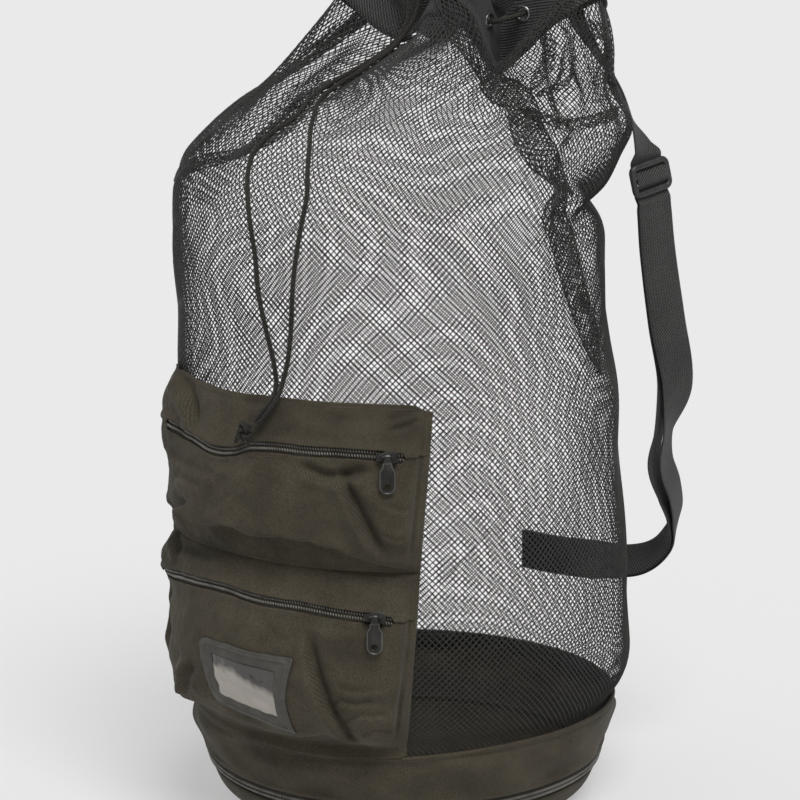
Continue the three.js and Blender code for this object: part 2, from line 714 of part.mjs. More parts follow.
const frameShape = new THREE.Shape();
const halfWide = STRAP_WIDTH / 2 + BUCKLE.clear + BUCKLE.cheek;
const halfTall = pitch + BUCKLE.bar / 2;
const corner = 3;
frameShape.moveTo(-halfWide + corner, -halfTall);
frameShape.lineTo(halfWide - corner, -halfTall);
frameShape.lineTo(halfWide, -halfTall + corner);
frameShape.lineTo(halfWide, halfTall - corner);
frameShape.lineTo(halfWide - corner, halfTall);
frameShape.lineTo(-halfWide + corner, halfTall);
frameShape.lineTo(-halfWide, halfTall - corner);
frameShape.lineTo(-halfWide, -halfTall + corner);
frameShape.closePath();
for (const side of [-1, 1]) {
  const inside = halfWide - BUCKLE.cheek;
  const near = (side * BUCKLE.bar) / 2;
  const far = side * (BUCKLE.bar / 2 + BUCKLE.slot);
  const slot = new THREE.Path();
  slot.moveTo(-inside, near);
  slot.lineTo(inside, near);
  slot.lineTo(inside, far);
  slot.lineTo(-inside, far);
  slot.closePath();
  frameShape.holes.push(slot);
}
const glide = new THREE.ExtrudeGeometry(frameShape, { depth: BUCKLE.thick, bevelEnabled: false });
glide.translate(0, 0, -BUCKLE.thick / 2);
const buckleSeat = new THREE.Group();
buckleSeat.applyMatrix4(
  new THREE.Matrix4()
    .makeBasis(buckleFrame.across, buckleFrame.along.clone().negate(), buckleFrame.outward.clone())
    .setPosition(buckleFrame.middle),
);
bag.add(buckleSeat);
add("tri_glide", glide, plasticBlack(), buckleSeat);

// Drawcord: laced in and out through the eyelets, and free at the front where its two ends hang.
function cordAlong(points, steps) {
  const section = new THREE.Shape();
  section.absarc(0, 0, CORD / 2, 0, 2 * Math.PI, false);
  const extrudePath = new THREE.CatmullRomCurve3(points);
  return new THREE.ExtrudeGeometry(section, { steps, extrudePath, curveSegments: 3 });
}

const strandPoints = (rows) => rows.map((row) => new THREE.Vector3(...row));
const lacing = [];
seats.forEach((seat, k) => {
  const inwards = k % 2 === 0 ? 1 : -1;
  for (const step of [1, -1]) {
    lacing.push(seat.middle.clone().addScaledVector(seat.outward, step * inwards * CORD_STRAIGHT));
  }
  for (let turn = EYELETS[k] + 15; k === 2 && turn < EYELETS[3]; turn += 20) {
    const middle = polar(STRAP_SIDE, COLLAR[1].shift, seat.middle.z);
    lacing.push(middle.add(polar(turn, CORD_INSIDE_REACH, 0)));
  }
});
// The eyelets alternate: in at one, out at the next, with a long run inside behind the strap.
add("drawcord_laced", cordAlong(lacing, LACED_STEPS), cordBlack());
add("drawcord_left", cordAlong(strandPoints(LEFT_STRAND), STRAND_STEPS), cordBlack());
add("drawcord_right", cordAlong(strandPoints(RIGHT_STRAND), STRAND_STEPS), cordBlack());
const knot = new THREE.TorusKnotGeometry(KNOT.size, CORD / 2, 28, 6, 2, 3);
add("drawcord_knot", knot.rotateX(Math.PI / 2).translate(...KNOT.middle), cordBlack());

export default bag;
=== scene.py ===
# %% [markdown]
# # Mesh gear bag
# A sack of black net stands on a nylon base. Two zipped nylon pockets are sewn on its front, a drawcord is
# laced through the tape of its mouth, and a webbing strap hangs down its back. The solids of the bag are
# loaded first as a fixed frame. Each soft one is then replaced by a finer piece in the same place.

# %% Load the frame
import math

import bmesh
import bpy
import numpy as np
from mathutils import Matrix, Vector


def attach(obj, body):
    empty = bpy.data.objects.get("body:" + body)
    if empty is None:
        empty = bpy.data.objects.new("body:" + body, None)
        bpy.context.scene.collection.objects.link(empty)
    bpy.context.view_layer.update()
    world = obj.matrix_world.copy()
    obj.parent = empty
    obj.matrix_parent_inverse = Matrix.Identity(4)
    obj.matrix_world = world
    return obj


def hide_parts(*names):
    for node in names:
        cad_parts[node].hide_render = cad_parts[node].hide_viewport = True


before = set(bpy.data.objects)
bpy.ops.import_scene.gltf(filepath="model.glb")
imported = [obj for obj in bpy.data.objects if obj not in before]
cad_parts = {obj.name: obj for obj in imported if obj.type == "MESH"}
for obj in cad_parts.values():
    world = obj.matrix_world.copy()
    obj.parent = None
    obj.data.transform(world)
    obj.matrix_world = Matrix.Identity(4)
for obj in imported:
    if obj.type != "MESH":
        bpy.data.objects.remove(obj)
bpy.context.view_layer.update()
scene = bpy.context.scene
MM = 0.001

# %% [markdown]
# ## Camera
# The photograph looks at the bag from its right front and a little from above, with a long lens that keeps
# the upright sides parallel. The camera is placed by its turn round the bag, its rise and its distance.

# %% Camera
CAMERA_TURN = math.radians(35.94)
CAMERA_RISE = math.radians(12.91)
CAMERA_AWAY = 3.0
CAMERA_LENS = 182.7
LOOK_AT = Vector((0.0006, 0.0004, 0.29935))

backwards = Vector((
    math.sin(CAMERA_TURN) * math.cos(CAMERA_RISE),
    -math.cos(CAMERA_TURN) * math.cos(CAMERA_RISE),
    math.sin(CAMERA_RISE),
))
camera_data = bpy.data.cameras.new("camera")
camera_data.sensor_width = 36
camera_data.lens = CAMERA_LENS
camera = bpy.data.objects.new("camera", camera_data)
camera.location = LOOK_AT + backwards * CAMERA_AWAY
camera.rotation_euler = backwards.to_track_quat("Z", "Y").to_euler()
scene.collection.objects.link(camera)
scene.camera = camera
scene.view_settings.view_transform = "Standard"
print("camera at", [round(x, 3) for x in camera.location])

# %% [markdown]
# ## Numbers that shape the bag
# The bag is drawn as rings. Each row of a table is one ring: its height, its radius, how far its middle is
# shifted towards the strap, how far the pleats swing it out and up, and how far the hood side stands up. The
# lengths are millimetres, and the turns are degrees from the front. A smooth curve that never overshoots
# runs through the rows, so that few numbers give a soft shape.

# %% Tables and smooth rows
STRAP_SIDE = 154
STRAP_FLAT = 32
PLEATS = 6
FIRST_PLEAT = 26.25
HOOD_SIDE = 112
HOOD_ACROSS = 40
HOOD_MORE = 1.65
# How much higher or lower than the even pleats the tape lies, by turn.
MOUTH_LIFT = [
    (-180, 0), (-153.75, -4), (-123.75, 6), (-93.75, 14), (-63.75, 36), (-33.75, 36), (-16, 21), (-9, 23),
    (-3.75, 32), (8, 36), (26.25, 27), (56.25, -9), (86, 6), (112, 0), (150, 0), (180, 0),
]
EVEN_LIFT = 14
# Above this height the tape's crests bend over and are cut down softly, by half at most.
CREST, CREST_SPAN = 632, 28
HEIGHT, RADIUS, SHIFT, PLEAT, LIFT, RISE = range(6)
SACK = np.array([
    [70, 149.6, 0, 0, 0, 0],
    [80, 150.2, 0, 0, 0, 0],
    [92, 158, 0, 0, 0, 0],
    [116, 165, 0, 0, 0, 0],
    [170, 167, 0, 0, 0, 0],
    [290, 164, 0, 0, 0, 0],
    [350, 159.5, -4, 0, 0, 0],
    [420, 158, -9, 0, 0, 0],
    [442, 158, -9, 0, 0, 0],
    [454, 158, -9, 0, 0, 0],
    [467, 158, -7, 0, 0, 0],
    [483, 155, -2, 0, 0, 0],
    [500, 147, 6, 1, 0, 0],
    [517, 134, 16, 3, 1, 0],
    [532, 118, 28, 6, 2, 3],
    [546, 101, 42, 10, 5, 9],
    [558, 85, 53, 14, 9, 18],
    [569, 70, 62, 18, 14, 28],
], float)
COLLAR = np.array([
    [569.4, 69.8, 62, 18, 14, 28],
    [578.5, 70.4, 62, 18.4, 14.4, 28],
    [594.5, 71.8, 62, 18.8, 15, 28],
    [604, 72.6, 62, 19, 15.4, 28],
], float)
# Swells and hollows: turn, height, spread across, spread up, depth, climb for each degree.
FOLDS = [
    (124, 454, 30, 13, -14, 0),
    (124, 508, 30, 24, 18, 0),
    (86, 425, 8, 70, -11, -0.6),
    (100, 470, 14, 20, 7, 0.5),
    (-22, 498, 38, 11, -7, 0.9),
    (62, 300, 26, 80, 3, 0),
    (128, 150, 30, 45, 5, 0),
    (126, 88, 62, 40, 8, 0),
    (111, 566, 26, 31, 34, 0),
    (-56, 560, 24, 22, 7, 0),
    (250, 380, 20, 60, -5, 0.4),
]


def smooth_rows(at, table, where):
    """Values of a table's columns at places between its rows."""
    at = np.asarray(at, float)
    table = np.asarray(table, float)
    where = np.asarray(where, float)
    gap = np.diff(at)[:, None]
    slope = np.diff(table, axis=0) / gap
    before, after = slope[:-1], slope[1:]
    heavy = 2 * gap[1:] + gap[:-1]
    light = gap[1:] + 2 * gap[:-1]
    same = before * after > 0
    safe_before = np.where(same, before, 1)
    safe_after = np.where(same, after, 1)
    middle = np.where(same, (heavy + light) / (heavy / safe_before + light / safe_after), 0)
    lean = np.vstack([slope[:1], middle, slope[-1:]])
    low = np.clip(np.searchsorted(at, where, side="right") - 1, 0, len(at) - 2)
    step = gap[low, 0][..., None]
    t = (where - at[low])[..., None] / step
    start = table[low] * (1 + 2 * t) * (1 - t) ** 2 + lean[low] * step * t * (1 - t) ** 2
    return start + table[low + 1] * t * t * (3 - 2 * t) + lean[low + 1] * step * t * t * (t - 1)


def line_at(line, x):
    """The second column of a two-column table, at places in its first."""
    knots = np.array(line, float)
    return smooth_rows(knots[:, 0], knots[:, 1:], x)[..., 0]


def finer_rows(rows, count):
    """The same table with more rows, evenly between its own."""
    table = np.array(rows, float)
    return smooth_rows(np.arange(len(table)), table, np.linspace(0, len(table) - 1, count))


def bell(x):
    return np.exp(-np.square(x))


def wrap(turn):
    return (turn + 180) % 360 - 180


def polar(turn, reach, height):
    turn = np.radians(turn)
    return np.stack(np.broadcast_arrays(reach * np.sin(turn), -reach * np.cos(turn), height), -1)


def pleat_at(turn):
    flat = 1 - bell(wrap(turn - STRAP_SIDE) / STRAP_FLAT)
    return np.cos(np.radians(PLEATS * (turn - FIRST_PLEAT))) * flat


def fold_at(turn, height):
    total = 0
    for middle, level, across, tall, depth, climb in FOLDS:
        away = wrap(turn - middle)
        total = total + depth * bell(away / across) * bell((height - level - climb * away) / tall)
    return total


def ring_point(table, turn, row, out=0.0):
    ring = smooth_rows(np.arange(len(table)), table, row)
    pleat = pleat_at(turn)
    reach = ring[..., RADIUS] + ring[..., PLEAT] * pleat + fold_at(turn, ring[..., HEIGHT]) + out
    hood = bell(wrap(turn - HOOD_SIDE) / HOOD_ACROSS)
    own = line_at(MOUTH_LIFT, wrap(turn)) / EVEN_LIFT
    height = ring[..., HEIGHT] + ring[..., LIFT] * (pleat + own) + HOOD_MORE * ring[..., RISE] * hood
    height = height - np.clip(height - CREST, 0, CREST_SPAN) ** 2 / (2 * CREST_SPAN)
    return polar(turn, reach, height) + polar(STRAP_SIDE, ring[..., SHIFT], 0)


ROWS_FINE = np.linspace(0, len(SACK) - 1, 3401)
PROFILE = smooth_rows(np.arange(len(SACK)), SACK, ROWS_FINE)


def net_reach(turn, height):
    row = np.interp(height, PROFILE[:, HEIGHT], ROWS_FINE)
    ring = smooth_rows(np.arange(len(SACK)), SACK, row)
    lean = ring[..., SHIFT] * np.cos(np.radians(turn - STRAP_SIDE))
    return ring[..., RADIUS] + lean + fold_at(turn, height)


front_reach = float(net_reach(np.array(0.0), np.array(300.0)))
print("net ring at 300 mm reaches", round(front_reach, 1), "mm at the front")

# %% [markdown]
# ## Helpers for meshes
# Cloth is made as a closed wall: a grid of points for its outer face, the same grid moved inwards along the
# normals, and a strip round the rim. Each grid also gets a UV map in metres of cloth, so that a weave keeps
# its real size on every piece.

# %% Mesh helpers
def new_object(name, points, faces, material, uv=None, smooth=True):
    """A mesh object from points in millimetres, with one UV pair for each corner of each face."""
    mesh = bpy.data.meshes.new(name)
    corners = faces if isinstance(faces, list) else faces.tolist()
    mesh.from_pydata((np.asarray(points) * MM).tolist(), [], corners)
    if uv is not None:
        layer = mesh.uv_layers.new(name="cloth")
        layer.uv.foreach_set("vector", np.asarray(uv, np.float32).ravel())
    if smooth:
        mesh.shade_smooth()
    mesh.materials.append(material)
    piece = bpy.data.objects.new(name, mesh)
    scene.collection.objects.link(piece)
    return piece


def joined(piece, *others):
    """One piece made of several."""
    with bpy.context.temp_override(active_object=piece, selected_editable_objects=[piece, *others]):
        bpy.ops.object.join()
    return piece


def reworked(mesh, *steps):
    """Runs steps on a mesh that is open for editing, then turns its faces outwards."""
    scratch = bmesh.new()
    scratch.from_mesh(mesh)
    for step in steps:
        step(scratch)
    bmesh.ops.recalc_face_normals(scratch, faces=scratch.faces)
    scratch.to_mesh(mesh)
    scratch.free()


def unit(v):
    return v / np.linalg.norm(v, axis=-1, keepdims=True)


def steps_between(points, axis=0):
    return np.linalg.norm(np.diff(points, axis=axis), axis=-1)


def running(steps):
    """The distance run so far, from 0."""
    return np.concatenate([[0], np.cumsum(steps)])


def spaced(points, places):
    """Points at given distances along a line."""
    far = running(steps_between(points))
    return np.stack([np.interp(places, far, column) for column in points.T], 1)


def run_of(points):
    return float(steps_between(points).sum())


def closed_loop(grid):
    return np.concatenate([grid, grid[:, :1]], 1)


def grid_normals(grid, round_about):
    """Outward normals of a grid of points, rows by columns."""
    if round_about:
        along = np.roll(grid, -1, 1) - np.roll(grid, 1, 1)
    else:
        along = np.gradient(grid, axis=1)
    normal = np.cross(along, np.gradient(grid, axis=0))
    return normal / np.maximum(np.linalg.norm(normal, axis=-1, keepdims=True), 1e-9)


def cloth_wall(name, grid, thick, material, round_about=False):
    """A closed wall of cloth under a grid of outer points."""
    rows, columns = grid.shape[:2]
    inner = grid - grid_normals(grid, round_about) * thick
    points = np.concatenate([grid.reshape(-1, 3), inner.reshape(-1, 3)])
    spans = columns if round_about else columns - 1
    u = running(steps_between(closed_loop(grid), 1).mean(0))[: spans + 1] * MM
    v = running(steps_between(grid).mean(1)) * MM
    j, i = np.meshgrid(np.arange(rows - 1), np.arange(spans), indexing="ij")
    j, i = j.ravel(), i.ravel()
    right = (i + 1) % columns
    low, high = j * columns, (j + 1) * columns
    outer = np.stack([low + i, low + right, high + right, high + i], 1)
    outer_uv = np.stack([u[i], v[j], u[i + 1], v[j], u[i + 1], v[j + 1], u[i], v[j + 1]], 1)
    layer = rows * columns
    faces = [outer, outer[:, ::-1] + layer]
    uvs = [outer_uv, outer_uv.reshape(-1, 4, 2)[:, ::-1].reshape(-1, 8)]
    k = np.arange(spans)
    next_k = (k + 1) % columns
    top = (rows - 1) * columns
    faces.append(np.stack([k + layer, next_k + layer, next_k, k], 1))
    faces.append(np.stack([top + k, top + next_k, top + next_k + layer, top + k + layer], 1))
    near, away = 0 * u[k], 0 * u[k] + MM
    rim_uv = np.stack([u[k], near, u[k + 1], near, u[k + 1], away, u[k], away], 1)
    uvs += [rim_uv, rim_uv]
    if not round_about:
        k = np.arange(rows - 1)
        low, high = k * columns, (k + 1) * columns
        faces.append(np.stack([low, high, high + layer, low + layer], 1))
        low, high = low + columns - 1, high + columns - 1
        faces.append(np.stack([low, low + layer, high + layer, high], 1))
        near, away = 0 * v[k], 0 * v[k] + MM
        side_uv = np.stack([near, v[k], near, v[k + 1], away, v[k + 1], away, v[k]], 1)
        uvs += [side_uv, side_uv]
    return new_object(name, points, np.concatenate(faces), material, np.concatenate(uvs))


def swept(name, path, radius, sides, material, relief=None, closed=False, oval=(1, 1)):
    """A tube along a path, with its ends closed. The UV map runs round it and along it."""
    path = np.asarray(path, float)
    if closed:
        along = np.roll(path, -1, 0) - np.roll(path, 1, 0)
    else:
        along = np.gradient(path, axis=0)
    along = unit(along)
    side = np.cross(along[0], [0.3, 0.2, 1.0])
    sidewards = []
    for tangent in along:
        side = unit(side - tangent * (side @ tangent))
        sidewards.append(side)
    sidewards = np.array(sidewards)
    upwards = np.cross(along, sidewards)
    distance = running(steps_between(path))
    angle = np.arange(sides) * 2 * np.pi / sides
    reach = radius * (1 + (relief(angle[None], distance[:, None]) if relief else 0 * distance[:, None]))
    sideways = sidewards[:, None] * np.cos(angle)[:, None] * oval[0]
    upright = upwards[:, None] * np.sin(angle)[:, None] * oval[1]
    rings = path[:, None] + reach[..., None] * (sideways + upright)
    count = len(path)
    j, i = np.meshgrid(np.arange(count if closed else count - 1), np.arange(sides), indexing="ij")
    j, i = j.ravel(), i.ravel()
    k, m = (i + 1) % sides, (j + 1) % count
    faces = np.stack([j * sides + i, j * sides + k, m * sides + k, m * sides + i], 1).tolist()
    far = distance[j] + (distance[1] - distance[0])
    uv = np.stack([i / sides, distance[j] * MM, (i + 1) / sides, distance[j] * MM,
                   (i + 1) / sides, far * MM, i / sides, far * MM], 1).reshape(-1, 2)
    if not closed:
        faces.append(list(range(sides))[::-1])
        faces.append([(count - 1) * sides + n for n in range(sides)])
        uv = np.concatenate([uv, np.zeros((2 * sides, 2))])
    return new_object(name, rings.reshape(-1, 3), faces, material, uv)


def through(points, steps):
    """A smooth line through points, spaced as the cords and the strap of the frame are."""
    points = np.asarray(points, float)
    padded = np.vstack([2 * points[0] - points[1], points, 2 * points[-1] - points[-2]])
    place = np.linspace(0, len(points) - 1, steps)
    low = np.clip(place.astype(int), 0, len(points) - 2)
    t = (place - low)[:, None]
    p0, p1, p2, p3 = (padded[low + k] for k in range(4))
    pairs = ((p0, p1), (p1, p2), (p2, p3))
    d0, d1, d2 = (np.sqrt(np.linalg.norm(b - a, axis=1))[:, None] for a, b in pairs)
    lean1 = ((p1 - p0) / d0 - (p2 - p0) / (d0 + d1) + (p2 - p1) / d1) * d1
    lean2 = ((p2 - p1) / d1 - (p3 - p1) / (d1 + d2) + (p3 - p2) / d2) * d1
    h = p1 * (1 + 2 * t) * (1 - t) ** 2 + lean1 * t * (1 - t) ** 2
    return h + p2 * t * t * (3 - 2 * t) + lean2 * t * t * (t - 1)


def ripples(seed, waves, shortest, longest, u, v):
    """Smooth random waves over a sheet, the same on every run."""
    dice = np.random.default_rng(seed)
    total = 0
    for _ in range(waves):
        heading, phase = dice.uniform(0, 2 * np.pi, 2)
        length = dice.uniform(shortest, longest)
        total = total + np.sin(2 * np.pi * (u * np.cos(heading) + v * np.sin(heading)) / length + phase)
    return total / math.sqrt(waves / 2)


def dress(piece, slot, *nodes, body="bag"):
    """Says which body carries a piece and which solids it stands for. The slot is not used."""
    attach(piece, body)
    if nodes:
        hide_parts(*nodes)
    return piece


print("helpers ready")

# %% [markdown]
# ## Shared finishes
# A shader node group is a small machine with named sockets that many materials can share. One gives the
# over-and-under bumps of a plain weave, one the ribs of webbing, one the crossing strands of a braid, and
# one the soft unevenness of worn cloth. Each puts out plain values, and the Principled shader stays in the
# material.

# %% Node helpers and groups
def add(tree, kind, links=None, **settings):
    """A node with its settings, and its inputs linked or set by name or number."""
    node = tree.nodes.new(kind)
    for key, value in settings.items():
        setattr(node, key, value)
    for key, value in (links or {}).items():
        if isinstance(value, bpy.types.NodeSocket):
            tree.links.new(value, node.inputs[key])
        else:
            node.inputs[key].default_value = value
    return node


def math_node(tree, operation, *values):
    return add(tree, "ShaderNodeMath", dict(enumerate(values)), operation=operation).outputs[0]


def wave(tree, value, pace):
    """The sine of a value times a pace."""
    return math_node(tree, "SINE", math_node(tree, "MULTIPLY", value, pace))


def new_group(name, kind, inputs, outputs):
    group = bpy.data.node_groups.new(name, kind)
    for socket, socket_type, value in inputs:
        made = group.interface.new_socket(socket, in_out="INPUT", socket_type=socket_type)
        if value is not None:
            made.default_value = value
    for socket, socket_type in outputs:
        group.interface.new_socket(socket, in_out="OUTPUT", socket_type=socket_type)
    return group, group.nodes.new("NodeGroupInput"), group.nodes.new("NodeGroupOutput")


VECTOR, VALUE = "NodeSocketVector", "NodeSocketFloat"

weave, given, result = new_group(
    "plain_weave", "ShaderNodeTree",
    [("Cloth", VECTOR, None), ("Thread", VALUE, 0.0008)], [("Height", VALUE)])
parts = add(weave, "ShaderNodeSeparateXYZ", {0: given.outputs["Cloth"]}).outputs
pace = math_node(weave, "DIVIDE", math.pi, given.outputs["Thread"])
checks = math_node(weave, "MULTIPLY", wave(weave, parts["X"], pace), wave(weave, parts["Y"], pace))
weave.links.new(math_node(weave, "MULTIPLY_ADD", checks, 0.5, 0.5), result.inputs["Height"])

ribs, given, result = new_group(
    "webbing_ribs", "ShaderNodeTree",
    [("Cloth", VECTOR, None), ("Rib", VALUE, 0.0016), ("Slant", VALUE, 0.6)], [("Height", VALUE)])
parts = add(ribs, "ShaderNodeSeparateXYZ", {0: given.outputs["Cloth"]}).outputs
pace = math_node(ribs, "DIVIDE", 2 * math.pi, given.outputs["Rib"])
slanted = math_node(ribs, "MULTIPLY_ADD", parts["X"], given.outputs["Slant"], parts["Y"])
mixed = math_node(ribs, "MULTIPLY_ADD", wave(ribs, parts["X"], pace), 0.35, wave(ribs, slanted, pace))
ribs.links.new(math_node(ribs, "MULTIPLY_ADD", mixed, 0.37, 0.5), result.inputs["Height"])

braid, given, result = new_group(
    "cord_braid", "ShaderNodeTree",
    [("Cord", VECTOR, None), ("Strands", VALUE, 5.0), ("Lay", VALUE, 0.006)], [("Height", VALUE)])
parts = add(braid, "ShaderNodeSeparateXYZ", {0: given.outputs["Cord"]}).outputs
turns = math_node(braid, "MULTIPLY", parts["X"], given.outputs["Strands"])
lays = math_node(braid, "DIVIDE", parts["Y"], given.outputs["Lay"])
one_way = wave(braid, math_node(braid, "ADD", turns, lays), 2 * math.pi)
other = wave(braid, math_node(braid, "SUBTRACT", turns, lays), 2 * math.pi)
braid.links.new(math_node(braid, "MAXIMUM", one_way, other), result.inputs["Height"])

mottle, given, result = new_group(
    "cloth_mottle", "ShaderNodeTree",
    [("Place", VECTOR, None), ("Size", VALUE, 0.03), ("Fleck", VALUE, 0.0012)],
    [("Soft", VALUE), ("Flecks", VALUE)])
for size_socket, detail, put_out in (("Size", 5.0, "Soft"), ("Fleck", 2.0, "Flecks")):
    scale = math_node(mottle, "DIVIDE", 1.0, given.outputs[size_socket])
    noise = add(mottle, "ShaderNodeTexNoise",
                {"Vector": given.outputs["Place"], "Scale": scale, "Detail": detail})
    mottle.links.new(noise.outputs[0], result.inputs[put_out])
print("groups:", [g.name for g in (weave, ribs, braid, mottle)])

# %% [markdown]
# ## Materials
# The nylon is a warm olive black, the net and the webbing are a cooler black, and the vinyl round the card
# window is grey. Every cloth mixes two near colours by its mottle, darkens between its threads, and takes
# its bumps from its own weave. The numbers that are the same all over a surface are set on the shader
# itself.

# %% Materials
def principled(name, roughness, **fixed):
    made = bpy.data.materials.new(name)
    made.use_nodes = True
    tree = made.node_tree
    shader = tree.nodes["Principled BSDF"]
    shader.inputs["Roughness"].default_value = roughness
    for socket, value in fixed.items():
        shader.inputs[socket.replace("_", " ")].default_value = value
    return made, tree, shader


def ramp(tree, value, low, high, dark, light):
    """Two colours, mixed as a value goes from low to high."""
    part = add(tree, "ShaderNodeMapRange", {"Value": value, "From Min": low, "From Max": high}).outputs[0]
    mix = add(tree, "ShaderNodeMix", {"Factor": part, "A": (*dark, 1), "B": (*light, 1)}, data_type="RGBA")
    return mix.outputs["Result"]


def darker(tree, colour, height, depth):
    """A colour that is darkened where a height is low."""
    part = add(tree, "ShaderNodeMapRange", {"Value": height, "To Min": 1 - depth, "To Max": 1.0}).outputs[0]
    mix = add(tree, "ShaderNodeVectorMath", {0: colour, "Scale": part}, operation="SCALE")
    return mix.outputs[0]


def raised(tree, shader, height, strength, distance):
    bump = add(tree, "ShaderNodeBump", {"Height": height, "Strength": strength, "Distance": distance})
    tree.links.new(bump.outputs[0], shader.inputs["Normal"])


def shared(tree, group, place, sizes):
    """A shared group in a material, fed by a place and with its sizes set."""
    return add(tree, "ShaderNodeGroup", {0: place, **sizes}, node_tree=group).outputs


def uneven_roughness(tree, shader, value, low, high):
    part = add(tree, "ShaderNodeMapRange", {"Value": value, "To Min": low, "To Max": high}).outputs[0]
    tree.links.new(part, shader.inputs["Roughness"])


MOTTLE_SIZE, FLECK_DEPTH = 0.03, 0.42


def cloth_material(name, dark, light, roughness, group, sizes, depth, bump, crinkle=0.0):
    made, tree, shader = principled(name, roughness, Specular_IOR_Level=0.18, Sheen_Weight=0.06,
                                    Sheen_Roughness=0.5)
    place = add(tree, "ShaderNodeTexCoord").outputs
    uneven = shared(tree, mottle, place["Object"], {"Size": MOTTLE_SIZE})
    height = shared(tree, group, place["UV"], sizes)["Height"]
    tint = ramp(tree, uneven["Soft"], 0.3, 0.72, dark, light)
    woven = darker(tree, tint, height, depth)
    flecks = add(tree, "ShaderNodeMapRange", {"Value": uneven["Flecks"], "From Min": 0.3, "From Max": 0.7})
    tree.links.new(darker(tree, woven, flecks.outputs[0], FLECK_DEPTH), shader.inputs["Base Color"])
    uneven_roughness(tree, shader, uneven["Soft"], roughness - 0.1, roughness + 0.1)
    crumpled = math_node(tree, "MULTIPLY_ADD", uneven["Soft"], crinkle, height)
    raised(tree, shader, crumpled, 0.6, bump)
    return made


def solid_material(name, dark, light, roughness, grain, bump, **fixed):
    made, tree, shader = principled(name, roughness, **fixed)
    place = add(tree, "ShaderNodeTexCoord").outputs
    uneven = shared(tree, mottle, place["Object"], {"Size": grain * 12, "Fleck": grain})
    tree.links.new(ramp(tree, uneven["Soft"], 0.35, 0.7, dark, light), shader.inputs["Base Color"])
    uneven_roughness(tree, shader, uneven["Soft"], roughness - 0.08, roughness + 0.12)
    raised(tree, shader, uneven["Flecks"], 0.35, bump)
    return made


NYLON_DARK, NYLON_LIGHT = (0.068, 0.058, 0.039), (0.118, 0.101, 0.069)
BRAID_STRANDS, BRAID_LAY = 5, 7
nylon = cloth_material("nylon_cloth", NYLON_DARK, NYLON_LIGHT, 0.86, weave, {"Thread": 0.001}, 0.55, 0.0002,
                       crinkle=9.0)
webbing = cloth_material("webbing", (0.080, 0.080, 0.078), (0.118, 0.117, 0.114), 0.66, ribs,
                         {"Rib": 0.0022, "Slant": 0.7}, 0.9, 0.0007)
cord_cloth = cloth_material("cord_braid", (0.030, 0.028, 0.023), (0.050, 0.047, 0.039), 0.7, braid,
                            {"Strands": BRAID_STRANDS, "Lay": BRAID_LAY * MM}, 0.5, 0.0004)
zip_tape = cloth_material("zip_tape", (0.052, 0.045, 0.033), (0.086, 0.075, 0.055), 0.7, weave,
                          {"Thread": 0.0007}, 0.4, 0.00015)
net_yarn = solid_material("net_yarn", (0.016, 0.016, 0.015), (0.034, 0.033, 0.031), 0.55, 0.0005, 0.0002,
                          Sheen_Weight=0.1, Specular_IOR_Level=0.35)
zip_coil = solid_material("zip_coil", (0.112, 0.106, 0.094), (0.205, 0.195, 0.176), 0.34, 0.0008, 0.00008)
vinyl = solid_material("window_vinyl", (0.050, 0.048, 0.042), (0.076, 0.072, 0.063), 0.5, 0.0009, 0.00012,
                       Specular_IOR_Level=0.3)
moulded = solid_material("moulded_plastic", (0.020, 0.020, 0.020), (0.036, 0.036, 0.035), 0.42, 0.0006,
                         0.0001)
enamel = solid_material("black_enamel", (0.020, 0.019, 0.018), (0.046, 0.045, 0.042), 0.28, 0.0014, 0.00008,
                        Metallic=0.6)
nickel = solid_material("dark_nickel", (0.16, 0.16, 0.165), (0.27, 0.27, 0.275), 0.3, 0.0012, 0.00006,
                        Metallic=1.0)
# A lighter copy of the black enamel for the rims of the pulls: a painted highlight on their edges.
painted_highlight_rims = solid_material("painted_highlight_enamel", (0.075, 0.073, 0.069), (0.15, 0.147, 0.14), 0.26, 0.0014, 0.00006,
                        Metallic=0.7)
thread = solid_material("sewing_thread", (0.034, 0.031, 0.025), (0.070, 0.064, 0.052), 0.6, 0.0004, 0.0001)
print("materials:", len(bpy.data.materials))

# %% [markdown]
# ## Drawcord
# The cord is braided, about 3.5 mm thick, and its two ends hang down the front to one knot. A limp cord lies
# on what carries it, so its route is a short list of points on the net. The tube is swept along a smooth
# line through them, with low ridges where the strands of the braid cross.

